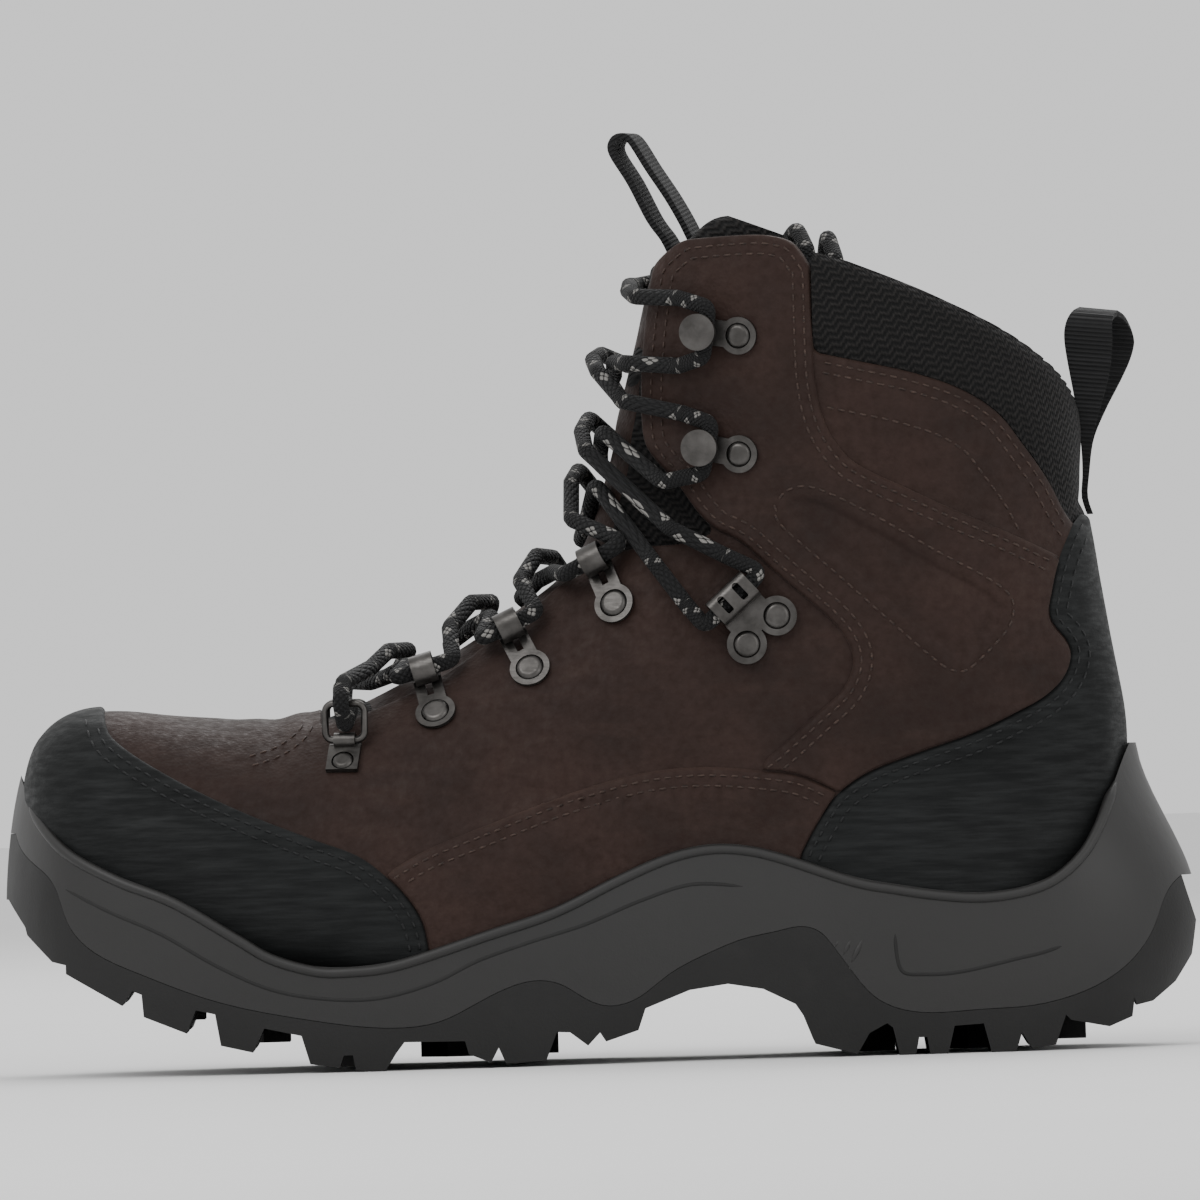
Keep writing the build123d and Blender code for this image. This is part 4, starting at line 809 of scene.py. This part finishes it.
def beads(name, rows, material):
    """The stitches of some rows as one piece; a row is its (x, z) line, side, panel and clipping outlines."""
    mesh = bmesh.new()
    for line, side, over, clip in rows:
        place, step = along(line, STITCH_PITCH)
        step *= STITCH_LENGTH / 2 / np.linalg.norm(step, axis=1)[:, None]
        ok = np.ones(len(place), bool)
        for border, sign, gap in clip:
            ok &= sign * distance(place, border) > gap
        for at, half in zip(place[ok], step[ok]):
            spots = [TREES[over].ray_cast(Vector((x, side * FAR_SIDE, z)) * MM, Vector((0, -side, 0)))[:2]
                     for x, z in (at - half, at + half, at)]
            if any(spot is None or spot.y * side < WRONG_SIDE for spot, _ in spots):
                continue
            start, end = spots[0][0] / MM, spots[1][0] / MM
            if (end - start).length <= STITCH_LENGTH * STITCH_MOST:
                stitch(mesh, start, end, spots[2][1])
    as_piece(name, mesh, material)


def rows_of(line, insets, side, over, clip):
    return [(inset(line, amount), side, over, clip) for amount in insets]


TREES = {name: tree_of([obj]) for name, obj in PANELS.items()}
VAMP_TACK = curve([(-90.0, 80.0), (-82.0, 82.5), (-76.0, 86.5), (-73.0, 91.0)])
ABOVE = [(ABOVE_SOLE, 1, 1.5)]
ON_FACING = [(FACING, 1, 1.0), (MUD, -1, 1.0), (HEEL, -1, 1.0)]
ON_QUARTER = [(FACING, -1, 1.0), (HEEL, -1, 1.5)]
for side, name, _ in HALVES:
    facing, mud, quarter = (f"{part}_leather_{name}" for part in ("ankle_facing", "mudguard", "quarter"))
    beads(f"black_stitches_{name}",
          rows_of(curve(TOE_EDGE), (-2.2, -4.9), side, "toe_cap_leather", ABOVE)
          + rows_of(curve(HEEL_EDGE), (-2.2, -4.9), side, "heel_cover_leather", ABOVE + [(HEEL, 1, 1.0)]),
          BLACK_THREAD)
    beads(f"brown_stitches_{name}",
          rows_of(curve(MUD_TOP), (-2.2, -4.9), side, mud, ABOVE + [(TOE, -1, 1.0), (HEEL, -1, 1.0)])
          + rows_of(curve(FACING_FRONT), (2.3, 5.0), side, facing, ON_FACING)
          + rows_of(curve(FACING_BACK), (-2.2, -4.8), side, facing, ON_FACING)
          + rows_of(curve(FACING_TOP), (-2.3, -5.0), side, facing, ON_FACING)
          + rows_of(CUFF_LINE, (-2.3, -4.9, -13.5), side, quarter, ON_QUARTER)
          + rows_of(PANEL_EDGE, (2.9,), side, facing, ON_FACING)
          + rows_of(VAMP_TACK, (0.0, 2.5), side, "vamp_leather", []),
          BROWN_THREAD)

# ---- pull loops: folded straps ----
STRAP_EDGE = 0.00035


def strap(name, grid, thickness, material, loop):
    """A webbing strap from rows of points in mm, thickened evenly; loop is both its body and its CAD node."""
    mesh = bmesh.new()
    skin_between(mesh, [[mesh.verts.new(Vector(p) * MM) for p in row] for row in grid], closed=False)
    bmesh.ops.recalc_face_normals(mesh, faces=mesh.faces)
    obj = as_piece(name, mesh, material, loop)
    thick = obj.modifiers.new("thick", "SOLIDIFY")
    thick.thickness = thickness * MM
    thick.offset = 0.0
    edge = obj.modifiers.new("edge", "BEVEL")
    edge.width = STRAP_EDGE
    edge.segments = 2
    edge.limit_method = "ANGLE"
    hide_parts(loop)


STRAP_TURN = 0.26  # the strap stands a little turned, so its face shows from the side
TONGUE_STRAP = [(25.5, 209.5), (23.2, 214.5), (19.6, 219.8), (14.9, 229.5), (10.4, 237.2), (10.5, 240.4),
                (12.6, 241.7), (15.2, 240.5), (19.6, 233.2), (24.4, 225.6), (28.0, 219.0), (30.5, 213.5)]
TONGUE_STRAP_HALF = 6.2
tongue_rows = [[(x + STRAP_TURN * y, y, z) for y in np.linspace(-TONGUE_STRAP_HALF, TONGUE_STRAP_HALF, 9)]
               for x, z in curve(TONGUE_STRAP, 5)]
strap("tongue_strap", tongue_rows, 1.7, webbing(0.5), "tongue_loop")
HEEL_FRONT = curve([(139.3, 129.5), (144.0, 128.2), (150.0, 128.6), (158.8, 128.2), (177.2, 125.8),
                    (187.7, 125.2), (193.4, 127.0)], 6)
HEEL_REAR = curve([(139.3, 133.0), (144.0, 131.7), (150.0, 132.3), (158.7, 133.8), (166.4, 137.3),
                   (176.7, 142.6), (185.8, 144.8), (191.8, 143.6), (193.4, 142.8)], 6)
HEEL_HALF = [(139.3, 1.0), (149.0, 1.2), (158.0, 2.6), (170.0, 5.2), (182.0, 7.4), (188.5, 7.3),
             (191.8, 5.0), (193.2, 0.0)]
HEEL_TWIST, HEEL_WIDEST = 0.32, 7.4  # the far side of the loop stands further back than the near one
HEEL_SLANT, SLANT_FROM, SLANT_OVER = 0.12, 176.0, 12.0  # the top of the loop falls towards the back
STRAP_INSET = 0.6
heel_rows = []
for side in (-1, 1):
    for z, half in curve(HEEL_HALF, 6)[::-side]:
        front = np.interp(z, *zip(*HEEL_FRONT)) + STRAP_INSET
        whole = np.interp(z, *zip(*HEEL_REAR)) - STRAP_INSET - front
        start = front + HEEL_TWIST * whole * (0.5 + 0.5 * side * half / HEEL_WIDEST)
        drop = HEEL_SLANT * np.clip((z - SLANT_FROM) / SLANT_OVER, 0, 1)
        across = np.linspace(start, start + whole * (1 - HEEL_TWIST), 12)
        heel_rows.append([(x, side * half, z - drop * (x - front)) for x in across])
strap("heel_strap", heel_rows, 1.4, webbing(-0.1), "heel_loop")

# ---- lace: the same bends as the CAD lace, in mm with the bend radius ----
LACE_ROUTE = [
    (61.5, 23.5, 130.0, 4.0), (60.0, 24.5, 182.0, 4.0), (59.5, 30.0, 211.0, 4.0),
    (57.0, 38.5, 217.0, 4.0), (53.0, 44.6, 211.0, 4.0), (44.0, 41.5, 208.6, 4.0),
    (33.0, 37.7, 206.2, 4.0), (14.3, 24.0, 202.9, 4.0), (12.4, 13.0, 202.8, 4.0),
    (13.0, 0.0, 201.1, 4.0), (12.0, -13.0, 201.1, 4.0), (13.7, -24.0, 199.4, 4.0),
    (25.0, -34.2, 198.6, 4.0), (32.7, -38.7, 195.9, 2.6), (30.9, -37.7, 182.9, 2.6),
    (24.5, -34.2, 180.9, 4.0), (11.3, -24.0, 182.1, 4.0), (7.8, -13.0, 182.5, 4.0),
    (7.7, 0.0, 179.1, 3.0), (6.7, 13.0, 177.5, 4.0), (9.8, 24.0, 172.4, 4.0), (25.0, 34.1, 168.6, 4.0),
    (32.7, 37.5, 165.6, 2.6), (29.9, 36.4, 152.7, 2.6), (19.5, 33.1, 150.8, 4.0),
    (0.9, 14.0, 168.4, 4.0), (-1.2, 0.0, 164.8, 3.0), (-0.3, -13.0, 159.8, 4.0),
    (21.0, -34.9, 138.8, 4.0), (35.0, -38.4, 131.3, 4.0), (44.5, -39.9, 126.6, 2.6),
    (29.3, -40.7, 113.0, 2.6), (24.5, -38.3, 119.0, 4.0), (16.4, -35.8, 130.2, 4.0),
    (2.0, -11.5, 150.9, 4.0), (-0.4, 0.0, 142.0, 3.0), (-2.3, 14.5, 136.5, 4.0),
    (9.0, 28.9, 135.4, 2.4), (-6.9, 25.2, 127.6, 2.4), (-9.7, 13.0, 132.1, 4.0),
    (-14.0, 0.0, 132.7, 3.0), (-18.4, -13.0, 126.2, 4.0), (-14.2, -26.4, 118.1, 2.4),
    (-29.3, -27.1, 111.2, 2.4), (-26.0, -13.0, 117.2, 4.0), (-31.6, 0.0, 114.4, 3.0),
    (-37.3, 13.0, 110.4, 4.0), (-36.8, 25.8, 106.2, 2.4), (-52.2, 25.8, 101.9, 2.4),
    (-48.1, 13.0, 109.0, 4.0), (-53.5, 0.0, 108.9, 3.0), (-58.1, -12.0, 104.7, 4.0),
    (-65.1, -33.7, 101.2, 2.6), (-66.1, -38.8, 96.3, 2.6), (-65.1, -33.0, 89.6, 2.6),
    (-63.7, -26.0, 93.7, 2.6), (-66.0, -14.0, 97.0, 6.0), (-66.2, 0.0, 99.6, 6.0),
    (-66.4, 14.0, 97.0, 6.0), (-64.4, 27.0, 93.8, 2.6), (-65.3, 34.1, 89.6, 2.6),
    (-65.9, 40.0, 96.2, 2.6), (-65.3, 34.9, 101.2, 2.6), (-58.3, 12.0, 100.8, 4.0),
    (-53.8, 0.0, 102.3, 3.0), (-48.3, -13.0, 105.2, 4.0), (-51.9, -25.4, 101.8, 2.4),
    (-36.5, -26.2, 106.2, 2.4), (-37.2, -13.0, 114.5, 4.0), (-31.4, 0.0, 121.0, 3.0),
    (-25.9, 13.0, 121.0, 4.0), (-29.8, 26.4, 111.0, 2.4), (-13.9, 25.4, 118.3, 2.4),
    (-18.4, 13.0, 121.9, 4.0), (-13.9, 0.0, 126.1, 3.0), (-9.6, -13.0, 128.2, 4.0),
    (-6.5, -26.2, 127.7, 2.4), (9.2, -29.6, 135.4, 2.4), (-4.6, -14.5, 141.9, 4.0),
    (-4.3, 0.0, 151.6, 3.0), (-2.2, 11.5, 155.0, 4.0), (16.2, 34.4, 129.6, 4.0),
    (24.5, 37.6, 119.0, 4.0), (29.2, 40.0, 112.9, 2.6), (44.4, 39.8, 126.6, 2.6),
    (35.0, 38.2, 131.3, 4.0), (21.0, 34.6, 138.8, 4.0), (3.4, 13.0, 156.2, 4.0),
    (3.4, 0.0, 158.8, 3.0), (4.3, -14.0, 164.6, 4.0), (19.5, -33.2, 150.8, 4.0),
    (29.9, -36.4, 152.7, 2.6), (32.7, -37.5, 165.6, 2.6), (25.0, -34.1, 168.6, 4.0),
    (9.8, -24.0, 172.3, 4.0), (3.5, -13.0, 180.2, 4.0), (2.3, 0.0, 183.5, 3.0),
    (4.6, 13.0, 185.0, 4.0), (11.3, 24.0, 182.1, 4.0), (24.5, 34.2, 180.9, 4.0),
    (30.9, 37.7, 182.9, 2.6), (32.7, 38.7, 195.9, 2.6), (42.0, 41.0, 199.5, 4.0),
    (55.0, 43.8, 202.0, 4.0), (64.0, 45.6, 207.0, 4.0), (65.0, 38.5, 215.0, 4.0),
    (67.0, 28.5, 208.0, 4.0), (68.5, 24.5, 180.0, 4.0), (70.5, 22.5, 125.0, 4.0),
]
LACE_RADIUS = 0.00215
LACE_LENGTH = 1.665
BEND_REACH, RUN_SHARE = 1.9, 0.49  # of the tangent length of the bend; the most of a run that a bend takes
corners = [Vector(point[:3]) for point in LACE_ROUTE]
control = [corners[0]]
for k, (*_, radius) in enumerate(LACE_ROUTE[1:-1], 1):
    at = corners[k]
    back, on = corners[k - 1] - at, corners[k + 1] - at
    reach = radius / math.tan(back.angle(on) / 2) * BEND_REACH
    control.append(at + back.normalized() * min(reach, back.length * RUN_SHARE))
    control.append(at)
    control.append(at + on.normalized() * min(reach, on.length * RUN_SHARE))
control.append(corners[-1])
lace_data = bpy.data.curves.new("lace_braid", "CURVE")
lace_data.dimensions = "3D"
lace_data.resolution_u = 5
lace_data.bevel_depth = LACE_RADIUS
lace_data.bevel_resolution = 4
line = lace_data.splines.new("NURBS")
line.points.add(len(control) - 1)
for point, place in zip(line.points, control):
    point.co = (*(place * MM), 1.0)
line.order_u = 3
line.use_endpoint_u = True
lace = bpy.data.objects.new("lace_braid", lace_data)
bpy.context.scene.collection.objects.link(lace)
lace_data.materials.append(braid(LACE_LENGTH, LACE_RADIUS))
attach(lace, "boot")
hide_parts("lace")

# ---- CAD parts whose shape stays ----
def finish_node(node, material):
    data = NODES[node].data
    data.materials.clear()
    data.materials.append(material)


# ---- midsole details: moulded lip, dark bars painted as the shade in the grooves, and arch ribs ----
def sole_points(line, side, inset_mm):
    """Points on the sole wall seen at (x, z) from the side, set in by some mm, with the wall's normals."""
    found = []
    for x, z in line:
        hit, normal, _, _ = SOLE_TREE.ray_cast(Vector((x, side * FAR_SIDE, z)) * MM, Vector((0, -side, 0)))
        if hit is not None:
            found.append((hit - normal * inset_mm * MM, normal))
    return found


RIB_RING = 10
RIB_END, RIB_GROWTH = 0.35, 0.25  # share of the radius at the ends of a bar, and gained with each section


def rib(name, lines, radius, material, set_in, squash_to=1.0):
    """Rounded bars lying on the sole wall along each line, on both sides."""
    mesh = bmesh.new()
    for line in lines:
        for side in (-1, 1):
            found = sole_points(line, side, set_in)
            rings = []
            for k, (p, n) in enumerate(found):
                ahead = found[min(k + 1, len(found) - 1)][0] - found[max(k - 1, 0)][0]
                if ahead.length < 1e-6:
                    continue
                u = ahead.normalized()
                v = n.cross(u).normalized()
                w = u.cross(v)
                size = radius * MM * min(1.0, RIB_END + RIB_GROWTH * min(k, len(found) - 1 - k))
                rings.append([mesh.verts.new(p + (v * math.cos(a) + w * math.sin(a) * squash_to) * size)
                              for a in np.arange(RIB_RING) * math.tau / RIB_RING])
            skin_between(mesh, rings, closed=True)
            if len(rings) > 1:
                mesh.faces.new(rings[0][::-1])
                mesh.faces.new(rings[-1])
    bmesh.ops.recalc_face_normals(mesh, faces=mesh.faces)
    as_piece(name, mesh, material)


LIP_LINE = [(x, z - 1.4) for x, z in curve(FEATHER, 8)][6:-6]
rib("midsole_lip", [LIP_LINE], 1.5, FOAM, 0.6)
GROOVE = [(76.4, 31.9), (76.6, 27.0), (77.4, 22.8), (79.3, 21.1), (84.0, 20.8), (89.0, 20.8),
          (95.0, 21.5), (101.6, 22.8), (108.0, 24.2), (114.8, 25.6), (120.0, 27.2)]
RECESS = [(-140.0, 50.0), (-128.0, 43.5), (-114.0, 37.0), (-100.0, 28.5), (-86.0, 22.0), (-72.0, 19.2),
          (-58.0, 19.0), (-44.0, 22.5), (-32.0, 28.0), (-18.0, 32.5), (-4.0, 36.5), (10.0, 42.0),
          (24.0, 46.0), (38.0, 45.0)]
# painted shade: thin bars in the darker outsole rubber lie along the groove and recess lines and stand for
# the shade inside them
rib("midsole_groove_shade_bars", [curve(GROOVE, 5), curve(RECESS, 6)], 0.55, RUBBER, 0.15, 0.6)
RIB_ROWS = [[(47.0 + 3.1 * k + 0.55 * d, 20.0 + 1.05 * d) for d in range(11)] for k in range(6)]
rib("arch_ribs", RIB_ROWS, 0.8, FOAM, 0.25, 0.8)

finish_node("midsole", FOAM)
finish_node("outsole", RUBBER)
finish_node("footbed", FOOTBED)
for node in ("insole_board", "toe_puff", "heel_stiffener"):
    finish_node(node, BOARD)
METAL_WORDS = ("hook", "lock", "lace_ring", "rivet", "ring_tab", "lace_tip")
for node in NODES:
    if any(word in node for word in METAL_WORDS):
        finish_node(node, METAL)

# ---- floor and light ----
floor_data = bpy.data.meshes.new("floor")
FLOOR = 6.0
floor_data.from_pydata([(-FLOOR, -FLOOR, 0), (FLOOR, -FLOOR, 0), (FLOOR, FLOOR, 0), (-FLOOR, FLOOR, 0)],
                       [], [(0, 1, 2, 3)])
floor = bpy.data.objects.new("floor", floor_data)
bpy.context.scene.collection.objects.link(floor)
pale = Shader("pale_floor", roughness=0.9, specular=0.2)
pale.colour(pale.mix(pale.noise(3.0), (0.80, 0.80, 0.80), (0.84, 0.84, 0.84)))
floor_data.materials.append(pale.material)
world = bpy.data.worlds.new("studio")
bpy.context.scene.world = world
world.use_nodes = True
world.node_tree.nodes["Background"].inputs["Color"].default_value = (1, 1, 1, 1)
world.node_tree.nodes["Background"].inputs["Strength"].default_value = 0.95
LAMPS = [("key", (-0.9, -1.3, 1.5), 1.2, 16.0), ("fill", (1.3, -1.2, 0.8), 1.2, 6.0),
         ("back", (0.3, 1.4, 1.5), 1.4, 16.0)]  # name, place, size in metres, watts
LIT_AT = Vector((0, 0, 0.1))
for name, place, size, power in LAMPS:
    lamp_data = bpy.data.lights.new(name, "AREA")
    lamp_data.size = size
    lamp_data.energy = power
    lamp = bpy.data.objects.new(name, lamp_data)
    bpy.context.scene.collection.objects.link(lamp)
    lamp.location = place
    lamp.rotation_euler = (LIT_AT - Vector(place)).to_track_quat("-Z", "Y").to_euler()
